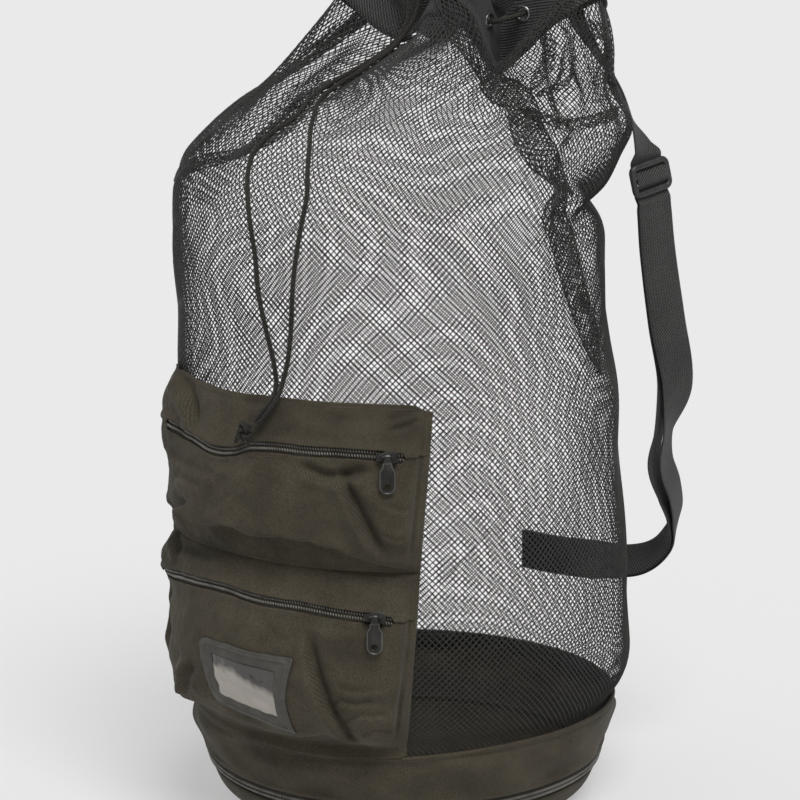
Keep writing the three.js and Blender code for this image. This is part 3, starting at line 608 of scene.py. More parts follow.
# %% Hanging strands
CORD_RADIUS = 1.75
LEFT_STRAND = [
    [4.3, -11.7, 609.5], [9.8, -14.6, 608.8], [15.2, -16, 604.4], [19.2, -16.6, 597.8], [21.6, -18.2, 590.4],
    [22, -21.2, 582.6], [19.6, -26.6, 574], [15, -34, 565.8], [8.6, -45, 558.2], [1.4, -61, 550.5],
    [-5.4, -78, 543], [-11, -91, 535], [-11.5, -102, 527.6], [-13, -111.5, 521], [-21, -120, 514.5],
    [-25, -130, 507], [-24.5, -138.5, 502], [-23, -146, 496.5], [-15, -160.2, 483], [-6.5, -168.8, 459.5],
    [-1.2, -169.5, 432.7], [1, -169, 407.6], [6, -167.8, 383.6], [12.2, -166.6, 358.9], [14.4, -166.8, 344],
    [14.4, -171, 334], [10.5, -177, 325.5], [6.2, -182, 318.5],
]
RIGHT_STRAND = [
    [41, -14, 623.9], [36.8, -17.6, 618.4], [34.6, -19, 610], [33.2, -19.4, 601.4], [31.2, -20.6, 592.6],
    [28, -24, 583], [23.6, -30.2, 573.2], [18.4, -38, 564.6], [14, -45, 559.8], [6.8, -59.2, 550.7],
    [0.1, -74.4, 543], [-3.7, -91, 533.4], [1.3, -104, 525.2], [10, -119.5, 517.5], [19.3, -133, 509.8],
    [30, -149.6, 493.6], [35.9, -158.2, 479.4], [34, -165.6, 448], [29.4, -166.2, 416.8], [27, -165.6, 385.6],
    [24, -165.6, 362], [20.2, -166.6, 346], [19, -170.8, 336], [14.8, -176.7, 325.5], [9.8, -182, 317],
]


def braid_relief(angle, distance):
    lays = 2 * np.pi * distance / BRAID_LAY
    one_way, other = np.sin(BRAID_STRANDS * angle + lays), np.sin(BRAID_STRANDS * angle - lays)
    return 0.05 * np.maximum(one_way, other) - 0.03


def length_of(path):
    return run_of(path) * MM


def hanging_strand(name, points, node):
    path = through(points, 360)
    strand = swept(name, path, CORD_RADIUS, 12, cord_cloth, braid_relief)
    dress(strand, "cord", node)
    return strand, path


left_strand, left_path = hanging_strand("cord_strand_left", LEFT_STRAND, "drawcord_left")
right_strand, right_path = hanging_strand("cord_strand_right", RIGHT_STRAND, "drawcord_right")
print("strands:", round(length_of(left_path), 3), round(length_of(right_path), 3), "m")

# %% [markdown]
# Where the strands meet they are tied in one overhand knot, with two short tails. A trefoil is the line of
# an overhand knot, so the knot is a tube along a trefoil, and each tail is a short tube that comes out below
# it.

# %% Knot
KNOT_MIDDLE = np.array([0.6, -185, 311])
KNOT_SIZE = 4.2
turn = np.linspace(0, 2 * np.pi, 120, endpoint=False)
trefoil = np.stack([
    (2 + np.cos(3 * turn)) * np.cos(2 * turn),
    0.85 * np.sin(3 * turn),
    (2 + np.cos(3 * turn)) * np.sin(2 * turn),
], 1) * KNOT_SIZE / 2 + KNOT_MIDDLE
knot = swept("cord_knot", trefoil, CORD_RADIUS, 10, cord_cloth, braid_relief, closed=True)
tails = []
TAIL_ROUTES = [
    ([-3, -1, -2], [-6, -1.5, -4.5], [-8.4, -0.6, -8.4]),
    ([2, -1, -4], [2.7, -1.6, -6.8], [3.2, -1, -9.6]),
]
for ends in TAIL_ROUTES:
    tail = through(KNOT_MIDDLE + np.array(ends), 24)
    tails.append(swept("tail", tail, CORD_RADIUS * 0.94, 10, cord_cloth, braid_relief))
joined(knot, *tails)
dress(knot, "cord", "drawcord_knot")
print("knot:", len(knot.data.polygons), "faces")

# %% [markdown]
# ## Net
# The sack is a knotted net: two families of slanting yarns cross and leave diamond holes of about 5 mm. The
# yarns are laid on the ring shape as lines, one family leaning each way. Two things are added to the shape
# first. The neck is gathered in small waves, and in a few places the net is folded over itself, which shows
# as a dark crease where three layers lie together.

# %% Shape of the net
NET_COLUMNS = 216
NET_STEP = 2.45
NET_SINK = 0.8
CREASE_STEPS = 60
# Creases: width of the gather, how close it draws, how far it stands out, width of the pleat that lies on it,
# and its line as (turn, ring height).
CREASES = {
    "shoulder": (22, 0.5, 2, 15, [(-58, 462), (-50, 472), (-35, 483), (-21, 493), (-14, 502), (-11, 518),
                                  (-12, 531), (-13, 541)]),
    "rim": (15, 0.7, 5, 9, [(66, 530), (71, 524), (75, 521), (82, 516), (88, 515), (95, 517), (102, 518),
                            (108, 519), (113, 519)]),
    "inner": (10, 0.7, 3, 6, [(73, 533), (76, 535), (80, 538), (83, 542), (84, 547)]),
    "upright": (14, 0.65, 4, 11, [(73, 562), (75, 554), (75, 549), (73, 542), (71, 536)]),
    "crown": (16, 0.65, 4, 12, [(84, 557), (89, 554), (93, 553), (98, 551), (103, 547), (111, 540),
                                (116, 530)]),
    "band": (40, 0.5, 4, 27, [(18, 569), (30, 562), (40, 557), (52, 553), (61, 542), (68, 528), (71, 514),
                              (75, 499), (83, 484), (91, 471)]),
    "side": (32, 0.5, 4, 21, [(88, 478), (87, 464), (91, 441), (92.5, 419), (94, 397), (97, 373), (99, 352),
                              (100.5, 334)]),
}


def ease(low, high, x):
    """0 below low, 1 above high, and a soft slope between."""
    t = np.clip((x - low) / (high - low), 0, 1)
    return t * t * (3 - 2 * t)


def gathers(turn, height):
    """Small waves of the gathered neck."""
    a = np.radians(turn)
    amount = 4.2 * ease(478, 525, height) * (1 - 0.88 * ease(546, 569, height))
    slanting = 0.5 * np.sin(19 * a + 0.4 + 0.012 * height)
    return amount * (slanting + 0.45 * np.sin(27 * a + 2.1) + 0.35 * np.sin(13 * a + 4.0))


def smooth_net(turn, row):
    height = np.interp(row, ROWS_FINE, PROFILE[:, HEIGHT])
    around = np.radians(turn) * 163
    loose = ease(80, 120, height)
    body = 1.1 * ripples(5, 7, 60, 170, around, height) * loose
    drift = 0.24 * ripples(6, 9, 60, 190, around, height) * loose
    sunk = height + 0.7 * ripples(7, 9, 60, 190, around, height) * loose * (1 - ease(535, 560, height))
    return ring_point(SACK, turn + drift, np.interp(sunk, PROFILE[:, HEIGHT], ROWS_FINE),
                      gathers(turn, height) + body - NET_SINK)


def row_of(height):
    return np.interp(height, PROFILE[:, HEIGHT], ROWS_FINE)


def crease_line(line, count):
    """Points along a crease, with the way onward, the way sideways and the way out at each."""
    spine = finer_rows(line, count)
    row = row_of(spine[:, 1])
    middle = smooth_net(spine[:, 0], row)
    onward = unit(np.gradient(middle, axis=0))
    round_the_bag = smooth_net(spine[:, 0] + 0.2, row) - middle
    normal = unit(np.cross(round_the_bag, middle - smooth_net(spine[:, 0], row - 0.02)))
    return middle, onward, np.cross(normal, onward), normal


def creased(points):
    """The points of the net after each crease has drawn in what lies near it."""
    shift = np.zeros_like(points)
    for width, lap, out, _, line in CREASES.values():
        middle, onward, sideways, normal = crease_line(line, CREASE_STEPS)
        near = np.flatnonzero(np.linalg.norm(points - middle.mean(0), axis=1) < 260)
        gap = np.linalg.norm(points[near, None] - middle[None], axis=2)
        best = gap.argmin(1)
        near, best = near[gap.min(1) < 3 * width], best[gap.min(1) < 3 * width]
        away = points[near] - middle[best]
        d = (away * sideways[best]).sum(1)
        past = (away * onward[best]).sum(1)
        fade = bell(past / width) * ease(0, 9, best) * (1 - ease(42, 59, best) * 0.9)
        weight = np.exp(-np.abs(d / width) ** 3.2) * fade
        shift[near] += normal[best] * (out * weight)[:, None] - sideways[best] * (lap * d * weight)[:, None]
    return points + shift


steps_along = running(steps_between(PROFILE[:, [RADIUS, HEIGHT]]))
NET_ROWS = int(steps_along[-1] / NET_STEP) + 1
row_places = np.interp(np.linspace(0, steps_along[-1], NET_ROWS), steps_along, ROWS_FINE)
levels = np.arange(NET_ROWS)
levels = levels[(row_places > row_of(360)) | (levels % 2 == 0)]
column, level = np.meshgrid(np.arange(NET_COLUMNS), levels, indexing="ij")
yarns = []
for leaning in (1, -1):
    turns_of_yarn = (column + leaning * level / 2) * 360 / NET_COLUMNS
    flat = smooth_net(turns_of_yarn.ravel(), row_places[level].ravel())
    yarns.append(creased(flat).reshape(NET_COLUMNS, len(levels), 3))
yarns = np.concatenate(yarns)
print("net:", len(yarns), "yarns of", len(levels), "steps")

# %% [markdown]
# The lines become yarns with Geometry Nodes. Mesh to Curve turns each line into a curve, and Curve to Mesh
# sweeps a small three-sided section along it, which is enough for a yarn that is less than a millimetre
# wide. The net is made in four bands of height, so that no one mesh is too heavy.

# %% Yarns by Geometry Nodes
def plain_mesh(piece):
    """Keeps what a piece's modifiers make as its own mesh."""
    graph = bpy.context.evaluated_depsgraph_get()
    made = piece.evaluated_get(graph)
    mesh = bpy.data.meshes.new_from_object(made, preserve_all_data_layers=True, depsgraph=graph)
    piece.modifiers.clear()
    rough, piece.data = piece.data, mesh
    mesh.name = piece.name
    bpy.data.meshes.remove(rough)


def modifier_mesh(piece, tree, values):
    """Runs a node tree on a piece and keeps the result as a plain mesh."""
    made = piece.modifiers.new(tree.name, "NODES")
    made.node_group = tree
    for item in tree.interface.items_tree:
        if item.in_out == "INPUT" and item.name in values:
            made[item.identifier] = values[item.name]
    plain_mesh(piece)


GEOMETRY, MATERIAL = "NodeSocketGeometry", "NodeSocketMaterial"


def finish_tree(tree, geometry, given, result):
    """Smooth shading, real geometry and the material, as the last steps of a tree."""
    smooth = add(tree, "GeometryNodeSetShadeSmooth", {"Geometry": geometry}).outputs[0]
    real = add(tree, "GeometryNodeRealizeInstances", {"Geometry": smooth}).outputs[0]
    painted = add(tree, "GeometryNodeSetMaterial", {"Geometry": real, "Material": given.outputs["Material"]})
    tree.links.new(painted.outputs[0], result.inputs[0])


yarn_tree, given, result = new_group(
    "swept_yarns", "GeometryNodeTree",
    [("Lines", GEOMETRY, None), ("Radius", VALUE, 0.0006), ("Material", MATERIAL, None)],
    [("Geometry", GEOMETRY)])
curves = add(yarn_tree, "GeometryNodeMeshToCurve", {"Mesh": given.outputs["Lines"]}).outputs[0]
section = add(yarn_tree, "GeometryNodeCurvePrimitiveCircle",
              {"Resolution": 3, "Radius": given.outputs["Radius"]})
tubes = add(yarn_tree, "GeometryNodeCurveToMesh",
            {"Curve": curves, "Profile Curve": section.outputs[0], "Fill Caps": True}).outputs[0]
finish_tree(yarn_tree, tubes, given, result)

YARN_RADIUS = 0.42


def yarn_piece(name, groups):
    """One piece of net from groups of lines, each an array of lines by steps by points."""
    points, edges, first = [], [], 0
    for lines in groups:
        size = lines.shape[1]
        start = first + (np.arange(len(lines))[:, None] * size + np.arange(size - 1)).ravel()
        points.append(lines.reshape(-1, 3))
        edges.append(np.stack([start, start + 1], 1))
        first += lines.shape[0] * size
    mesh = bpy.data.meshes.new(name)
    mesh.from_pydata((np.concatenate(points) * MM).tolist(), np.concatenate(edges).tolist(), [])
    piece = bpy.data.objects.new(name, mesh)
    scene.collection.objects.link(piece)
    modifier_mesh(piece, yarn_tree, {"Radius": YARN_RADIUS * MM, "Material": net_yarn})
    dress(piece, "net", "net_sack")
    print(name, len(piece.data.polygons), "faces")


cuts = np.linspace(0, len(levels) - 1, 5).astype(int)
for k, (low, high) in enumerate(zip(cuts[:-1], cuts[1:])):
    yarn_piece(f"net_band_{k + 1}", [yarns[:, low:high + 1]])

# %% [markdown]
# Where the slack net is folded over, two more layers lie on the crease. Such a pleat is a flattened tube of
# the same net, so its yarns are wound both ways round an oval that runs along the crease and closes at its
# ends.

# %% Pleats of the net
PLEAT_PITCH = 4.6
pleats = []
for _, _, out, pleat, line in CREASES.values():
    count = int(run_of(crease_line(line, CREASE_STEPS)[0]) / NET_STEP)
    middle, _, sideways, normal = crease_line(line, count)
    around = max(3, round(2 * pleat / PLEAT_PITCH))
    part = np.linspace(0, 1, count)
    half = pleat / 2 * np.sqrt(np.clip(3 * ease(0, .35, part) * (1 - ease(.45, 1, part)), 0.004, 1))
    for leaning in (1, -1):
        a = 2 * np.pi * (np.arange(around)[:, None] + leaning * np.arange(count)[None] / 2) / around
        lie = sideways[None] * (half[None] * np.cos(a))[..., None]
        pleats.append(middle[None] + lie + normal[None] * (0.6 * out + 1 + np.sin(a))[..., None])
yarn_piece("net_pleats", pleats)

# %% [markdown]
# ## Mouth
# The mouth is bound with a band of twill webbing that waves in six loose pleats. It laps over the top of the
# net and carries eight eyelets for the cord, two of them drawn close together in the dip at the front. The
# holes are cut with a Boolean, as they are punched in the real tape.

# %% Collar tape
TAPE = 2.0
EYELETS = [11.25, 45, 67, 221.25, 251.25, 281.25, 311.25, 341.25]
EYELET_BARREL = 4.3
PUNCH_SIDES, PUNCH_REACH = 16, 5


def eyelet_seats():
    """Middle and outward direction of each eyelet, in the middle of the tape."""
    seats = []
    for turn in EYELETS:
        a, b, c, d = (ring_point(COLLAR, np.array(turn + side * 3.75), np.array(float(row)))
                      for side, row in ((-1, 1), (1, 1), (1, 2), (-1, 2)))
        outward = unit(np.cross(c - a, d - b))
        seats.append(((a + b + c + d) / 4 - outward * TAPE / 2, outward))
    return seats


def boolean_cut(piece, cutter):
    """Cuts a piece with another, which is then thrown away."""
    made = piece.modifiers.new("cut", "BOOLEAN")
    made.operation, made.solver, made.object = "DIFFERENCE", "EXACT", cutter
    plain_mesh(piece)
    waste = cutter.data
    bpy.data.objects.remove(cutter)
    bpy.data.meshes.remove(waste)


seats = eyelet_seats()
turns = np.arange(360.0)
lap_rows = ring_point(SACK, turns[None], np.linspace(16.35, 16.95, 4)[:, None], 1.4)
tape_rows = ring_point(COLLAR, turns[None], np.linspace(0.05, 3, 13)[:, None], 0.4)
collar_grid = np.concatenate([lap_rows, tape_rows])
collar = cloth_wall("collar_tape_band", collar_grid, TAPE, webbing, round_about=True)
punch_points, punch_faces = [], []
for middle, outward in seats:
    spin = Vector(outward).to_track_quat("Z", "Y").to_matrix()
    ring = [spin @ Vector((math.cos(a) * EYELET_BARREL, math.sin(a) * EYELET_BARREL, 0))
            for a in np.linspace(0, 2 * math.pi, PUNCH_SIDES, endpoint=False)]
    low = list(range(len(punch_points), len(punch_points) + PUNCH_SIDES))
    high = [k + PUNCH_SIDES for k in low]
    for side in (-PUNCH_REACH, PUNCH_REACH):
        punch_points += [Vector(middle) + p + Vector(outward) * side for p in ring]
    punch_faces += [[low[k - 1], low[k], high[k], high[k - 1]] for k in range(PUNCH_SIDES)]
    punch_faces += [low[::-1], high]
punch = bpy.data.meshes.new("punch")
punch.from_pydata([tuple(p * MM) for p in punch_points], [], punch_faces)
punch_object = bpy.data.objects.new("punch", punch)
scene.collection.objects.link(punch_object)
boolean_cut(collar, punch_object)
dress(collar, "webbing", "collar_tape")
print("collar:", len(collar.data.polygons), "faces")

# %% [markdown]
# The eyelets are dark nickel rings with a rolled lip. One ring is swept round a circle, and Geometry Nodes
# put a copy on every seat, turned to face outwards. The seats are points that carry their direction as an
# attribute.

# %% Eyelets by Geometry Nodes
def pointed(name, points, **directions):
    """An object of loose points in millimetres that carry directions."""
    mesh = bpy.data.meshes.new(name)
    mesh.from_pydata((np.asarray(points) * MM).tolist(), [], [])
    for key, values in directions.items():
        mesh.attributes.new(key, "FLOAT_VECTOR", "POINT").data.foreach_set(
            "vector", np.asarray(values, np.float32).ravel())
    piece = bpy.data.objects.new(name, mesh)
    scene.collection.objects.link(piece)
    return piece


def named(tree, key):
    return add(tree, "GeometryNodeInputNamedAttribute", {"Name": key}, data_type="FLOAT_VECTOR").outputs[0]


ring_tree, given, result = new_group(
    "rolled_rings", "GeometryNodeTree",
    [("Seats", GEOMETRY, None), ("Radius", VALUE, 0.0049), ("Wide", VALUE, 0.0016), ("Tall", VALUE, 0.0023),
     ("Material", MATERIAL, None)], [("Geometry", GEOMETRY)])
hoop = add(ring_tree, "GeometryNodeCurvePrimitiveCircle",
           {"Resolution": 28, "Radius": given.outputs["Radius"]})
section = add(ring_tree, "GeometryNodeCurvePrimitiveCircle", {"Resolution": 10, "Radius": 1.0})
size = add(ring_tree, "ShaderNodeCombineXYZ",
           {"X": given.outputs["Wide"], "Y": given.outputs["Tall"], "Z": 1.0})
oval = add(ring_tree, "GeometryNodeTransform", {"Geometry": section.outputs[0], "Scale": size.outputs[0]})
rolled = add(ring_tree, "GeometryNodeCurveToMesh",
             {"Curve": hoop.outputs[0], "Profile Curve": oval.outputs[0]})
facing = add(ring_tree, "FunctionNodeAlignEulerToVector", {"Vector": named(ring_tree, "out")}, axis="Z")
placed = add(ring_tree, "GeometryNodeInstanceOnPoints",
             {"Points": given.outputs["Seats"], "Instance": rolled.outputs[0], "Rotation": facing.outputs[0]})
finish_tree(ring_tree, placed.outputs[0], given, result)

rings = pointed("mouth_eyelets", [m for m, _ in seats], out=[o for _, o in seats])
modifier_mesh(rings, ring_tree, {"Radius": 0.0050, "Wide": 0.0016, "Tall": 0.0023, "Material": nickel})
dress(rings, "eyelet", *[f"eyelet_{k}" for k in range(1, 9)])
print("eyelets:", len(rings.data.polygons), "faces")

# %% [markdown]
# The laced part of the cord goes in at one eyelet and out at the next, with a long run inside behind the
# strap. It is held by the tape all the way, so it is a fixed piece and not a free cord.

# %% Laced cord
LACE_REACH, INSIDE_REACH = 5, 43
lacing = []
for k, (middle, outward) in enumerate(seats):
    inwards = 1 if k % 2 == 0 else -1
    lacing += [middle + outward * step * inwards * LACE_REACH for step in (1, -1)]
    if k == 2:
        for turn in np.arange(EYELETS[2] + 15, EYELETS[3], 20):
            lacing.append(polar(STRAP_SIDE, COLLAR[1, SHIFT], middle[2]) + polar(turn, INSIDE_REACH, 0))
lace_path = through(lacing, 560)
laced = swept("cord_laced", lace_path, CORD_RADIUS, 10, cord_cloth, braid_relief)
dress(laced, "cord", "drawcord_laced")
print("laced cord:", round(length_of(lace_path), 3), "m")

# %% [markdown]
# ## Base
# The base is a shallow nylon tub: a bottom panel, a zip that runs round it, and a wall that swells where it
# sits on the floor at the right. Each is a ring of cloth, with a little crumple so that the light breaks on
# it.

# %% Base cloth
BASE_WALL = [(145, 43), (150, 55), (153, 67), (153, 79)]
BASE_ZIP = [(139.0, 27.5), (141.2, 31.3), (144.7, 42.7), (146.2, 46.5)]
BOTTOM_PANEL = [(112, 0), (124, 4), (134, 14), (141, 31)]
NYLON = 1.5


def base_swell(turn):
    return 8 * bell(wrap(turn - 126) / 62)


def base_dip(turn):
    """How far the top of the wall is pulled down at the front."""
    return 8 * bell(wrap(turn - 18) / 38)


def zip_dip(turn, height):
    """How far the zip of the base sags towards the viewer, less and less above and below it."""
    return 9 * bell(wrap(turn - 36) / 85) * ease(2, 30, height) * (1 - ease(46, 76, height))


def base_ring(rows, count, out=0.0):
    along = finer_rows(rows, count)
    return turns[None], along[:, :1] + base_swell(turns)[None] + out, along[:, 1:] + 0 * turns[None]


def close_middle(mesh):
    """Draws the points at the middle of the bottom panel into one."""
    bmesh.ops.remove_doubles(mesh, verts=mesh.verts, dist=1e-6)
    bmesh.ops.dissolve_degenerate(mesh, edges=mesh.edges, dist=1e-7)


turn, reach, height = base_ring(BASE_WALL, 20)
height = height - base_dip(turn) * ease(50, 79, height)
crumple = 1.3 * ripples(11, 10, 24, 90, np.radians(turn) * 150, 1.6 * height)
crumple = crumple * ease(43, 50, height) * (1 - ease(66, 71, height))
from_top = height + base_dip(turn) * ease(50, 79, height)
welt = 1.1 * bell((from_top - 77) / 1.6) - 0.9 * bell((from_top - 73.4) / 1.2)
welt = welt + 1.2 * bell((height - 44) / 1.5)
wall_grid = polar(turn, reach + crumple + welt, height - zip_dip(turn, from_top))
base_wall = cloth_wall("base_wall_cloth", wall_grid, NYLON, nylon, round_about=True)
dress(base_wall, "nylon", "base_wall")

turn, reach, height = base_ring(BASE_ZIP, 9, -1.7)
tape_grid = polar(turn, reach, height - zip_dip(turn, height))
base_tape = cloth_wall("base_zip_tape", tape_grid, 1.2, zip_tape, round_about=True)
dress(base_tape, "zip_tape", "base_zip")

along = finer_rows(BOTTOM_PANEL, 14)
spread = 1 + base_swell(turns)[None] / 141
inner_rows = np.array([[0.0, 0.0], [40.0, 0.0], [80.0, 0.0]])
along = np.concatenate([inner_rows, along])
bottom_grid = polar(turns[None], along[:, :1] * spread, along[:, 1:] - zip_dip(turns[None], along[:, 1:]))
base_bottom = cloth_wall("base_bottom_cloth", bottom_grid, NYLON, nylon, round_about=True)
reworked(base_bottom.data, close_middle)
dress(base_bottom, "nylon", "base_bottom")
print("base:", sum(len(p.data.polygons) for p in (base_wall, base_tape, base_bottom)), "faces")

# %% [markdown]
# ## Pockets
# Each pocket is a slack box of nylon with a zip across its upper part. The belly hangs over its own foot,
# the zip droops a little, and the cloth falls in a few long folds. A fold is drawn as a line on the pocket,
# with a groove along it and a ridge beside it. A tuck line says where the belly turns under.

# %% Pocket shape
POCKET_HALF = 42
MM_A_DEGREE = 3.25
# Each pocket: its foot, head and zip heights and the zip's ends; how far it stands out by height; the line of
# its zip and of its tuck by turn, and how much the cloth below the tuck is drawn in; its swells (turn, height,
# width, tallness, depth) and its folds (line, width, groove, ridge).
POCKETS = {
    "lower": dict(
        foot=80.5, head=212, zip=184.4, ends=(-36, 36.5),
        rows=[(0, 2), (.03, 9), (.087, 17), (.15, 20.5), (.27, 23.2), (.35, 24), (.58, 22), (.79, 15),
              (.92, 8), (1, 1)],
        zip_line=[(-42, 181), (-31, 187.3), (-18.5, 192), (-7.9, 193.7), (3.3, 191.1), (12.9, 190.1),
                  (21.8, 187.4), (30.7, 184.4), (36, 181), (42, 180)],
        tuck=[(-42, 80), (-37, 81), (-33, 87), (-29, 96), (-23, 103), (-14, 101.5), (-8, 99), (-.4, 95),
              (5, 91), (11, 90), (16, 93), (20, 97), (23, 96), (26, 92), (28.5, 88), (32, 85), (42, 82)],
        tucked=.8,
        swells=[(-37, 197, 9, 14, 8), (-37, 150, 10, 25, -3), (-37, 106, 9, 16, -5)],
        folds=[
            ([(16.2, 172), (17.3, 157), (19.1, 139), (21.7, 121.5), (24.2, 108.4), (26.2, 95), (31, 82)],
             3.4, -8, 4.8),
            ([(39.7, 204), (39.6, 160.9), (38.6, 119), (38, 84)], 2, -5.5, 1.6),
            ([(22.5, 118), (25.6, 124), (28.7, 122), (31.3, 123.4), (34.5, 122)], 1.8, -1.7, 1.2),
            ([(25.5, 106), (30.2, 114), (32.9, 112.5), (36.5, 113)], 1.8, -1.7, 1.2),
            ([(29, 95), (33.5, 100.3), (36.6, 98), (39, 98)], 1.8, -1.6, 1.1),
            ([(23, 135), (28, 131), (33, 133), (37, 136)], 2.4, -1.2, 0.9),
            ([(-15, 136), (-17.4, 124.2), (-20, 112), (-22.3, 101.2), (-24, 93)], 3.2, -4.5, 4.5),
            ([(-36, 176), (-32, 150), (-31, 126)], 5, -3, 2.5),
            ([(-37, 213), (-31, 204), (-27, 197)], 2.6, -4, 3),
            ([(-30, 206), (-20, 203), (-12, 204)], 3.2, -2.2, 1.5),
            ([(4, 172), (9, 162), (13, 158)], 3, -1.2, 0.9),
        ],
    ),
    "upper": dict(
        foot=214, head=334, zip=299.2, ends=(-32.5, 36.5),
        rows=[(0, 2), (.08, 15), (.26, 21), (.5, 18), (.71, 13), (.88, 6), (1, .4)],
        zip_line=[(-42, 301), (-31.4, 298.3), (-18.4, 294.1), (-10.1, 291.1), (-4.6, 293.8), (0.9, 300),
                  (8.2, 301.9), (14.9, 301.2), (21.5, 301.9), (29.9, 301), (33.2, 299.2), (42, 298)],
        tuck=[(-42, 236), (-30, 238), (-22, 240), (-15.4, 236.5), (-9, 241), (-3.7, 241.7), (1.8, 237.5),
              (4.9, 238.5), (8.9, 241), (11.8, 239.2), (15.5, 239.5), (18.7, 236.2), (22, 235.5), (24.2, 232),
              (28, 229), (31.8, 225), (39.7, 219), (42, 218)],
        tucked=.84,
        swells=[(-37, 312, 10, 16, 9), (-37, 288, 10, 14, 7)],
        folds=[
            ([(21.3, 289), (22.5, 283), (25.1, 268), (27.6, 254), (30.2, 241), (32.3, 228)], 3.2, -8, 5.4),
            ([(12, 289), (14.6, 285), (18.5, 281.5), (21.9, 281), (25.2, 283.4), (29.5, 287.8)], 3, -7, 3),
            ([(-36, 232), (-30.8, 235.3), (-21.7, 244.8), (-17.7, 250)], 3.4, -5, 3),
            ([(39.6, 318), (39.1, 258), (38.7, 220)], 2, -5.5, 1.6),
            ([(-37, 333), (-28.6, 325), (-23.4, 316), (-20.4, 308), (-19, 303)], 3.6, -5, 5),
            ([(-30, 278), (-18, 276), (-8, 277)], 4, -2, 1.6),
            ([(-27, 262), (-20, 266), (-12, 264)], 3, -1.4, 1.2),
            ([(32, 315), (36.2, 318.6), (39.4, 324)], 1.8, -1.8, 1.2),
            ([(30, 321), (35, 325), (40, 331)], 1.6, -1.4, 1),
            ([(10, 322), (20, 318), (30, 319)], 4, -1.3, 1.2),
            ([(31, 268), (35, 262), (38, 260)], 1.8, -1.3, 0.9),
            ([(32, 246), (35, 240), (38, 240)], 1.8, -1.5, 1),
        ],
    ),
}


def beside(line, x, y):
    """Signed distance from a line, and how much of the line is there."""
    knots = np.array(line, float) * [MM_A_DEGREE, 1]
    best = np.full(np.broadcast(x, y).shape, 1e9)
    signed, amount = np.zeros_like(best), np.zeros_like(best)
    lengths = running(steps_between(knots))
    for k in range(len(knots) - 1):
        (ax, ay), (bx, by) = knots[k], knots[k + 1]
        dx, dy = bx - ax, by - ay
        t = np.clip(((x - ax) * dx + (y - ay) * dy) / (dx * dx + dy * dy), 0, 1)
        gx, gy = x - ax - t * dx, y - ay - t * dy
        gap = np.hypot(gx, gy)
        closer = gap < best
        best = np.where(closer, gap, best)
        signed = np.where(closer, np.sign(dx * gy - dy * gx) * gap, signed)
        place = (lengths[k] + t * (lengths[k + 1] - lengths[k])) / lengths[-1]
        amount = np.where(closer, ease(0, 0.22, place) * (1 - ease(0.8, 1, place)), amount)
    return signed, amount


def fold_section(d, width, groove, ridge):
    """A fold cut across: a soft rise to a ridge, a steep fall to a groove and a soft way back."""
    top, foot = d + 0.9 * width, d - 0.35 * width
    rise = ridge * bell(top / (width * np.where(top < 0, 2.1, 0.85)))
    return rise + groove * bell(foot / (width * np.where(foot < 0, 0.85, 1.6)))


def pocket_skin(pocket, turn, z, off=0.0):
    """A point of a pocket's outer face, by its turn round the bag and its height before it sags."""
    turn, z = np.broadcast_arrays(np.asarray(turn, float), np.asarray(z, float))
    side, place = turn / POCKET_HALF, turn * MM_A_DEGREE
    lean = 1 + np.where(side > 0, np.interp(z, [80, 212, 334], [-.095, -.025, .055]), 0)
    rise = (z - pocket["foot"]) / (pocket["head"] - pocket["foot"])
    lift = line_at(pocket["rows"], np.clip(rise, 0, 1))
    slack = 3.5 + 3.5 * (1 - ease(86, 124, z))
    gusset = 1 - np.abs(side) ** np.where(side > 0, 9, slack)
    inner = ease(0, 0.1, 1 - np.abs(side))
    under = ease(0, 6, line_at(pocket["tuck"], turn) - z) * (1 - 0.55 * ease(24, 36, -turn))
    reach = lift * gusset * (1 - pocket["tucked"] * under)
    for at, level, across, tall, more in pocket["swells"]:
        swell = more * bell((turn - at) / across) * bell((z - level) / tall)
        reach = reach + swell * ease(0, .08, 1 - np.abs(side))
    for line, width, groove, ridge in pocket["folds"]:
        d, amount = beside(line, place, z)
        reach = reach + amount * inner * fold_section(d, width, groove, ridge)
    quiet = inner * ease(0, .06, rise) * (1 - ease(.94, 1, rise))
    soft = 0.6 * ripples(21, 9, 26, 80, place, 1.4 * z) + 0.14 * ripples(23, 14, 6, 17, place, z)
    reach = reach + quiet * (soft - 0.4 * np.abs(ripples(25, 7, 26, 64, place, 1.3 * z)))
    droop = (line_at(pocket["zip_line"], turn) - pocket["zip"]) * bell((z - pocket["zip"]) / 26)
    return polar(turn * lean, net_reach(turn * lean, z) + 3 + np.maximum(reach, 0) + off, z + droop)


print("pockets:", {name: p["head"] - p["foot"] for name, p in POCKETS.items()}, "mm tall")

# %% [markdown]
# The cloth of a pocket is two panels with the zip between them. The upper panel ends in a lip that stands
# off and throws a shadow on the zip, as the fold of a sewn zip does. The edges lie flat where they are sewn
# to the net.

# %% Pocket panels
ZIP_OPEN, ZIP_TUCK = 4.0, 1.6
LIP_TALL, OVER_BASE, UNDER_UPPER = 3.2, 2.6, 2.2


def zip_gap(turn, ends):
    """Half the opening for the zip, which closes past both its ends."""
    return ZIP_OPEN * ease(0, 1, turn - ends[0]) * ease(0, 1, ends[1] - turn)


pocket_turns = POCKET_HALF * np.sin(np.linspace(-1.42, 1.42, 224)) / math.sin(1.42)


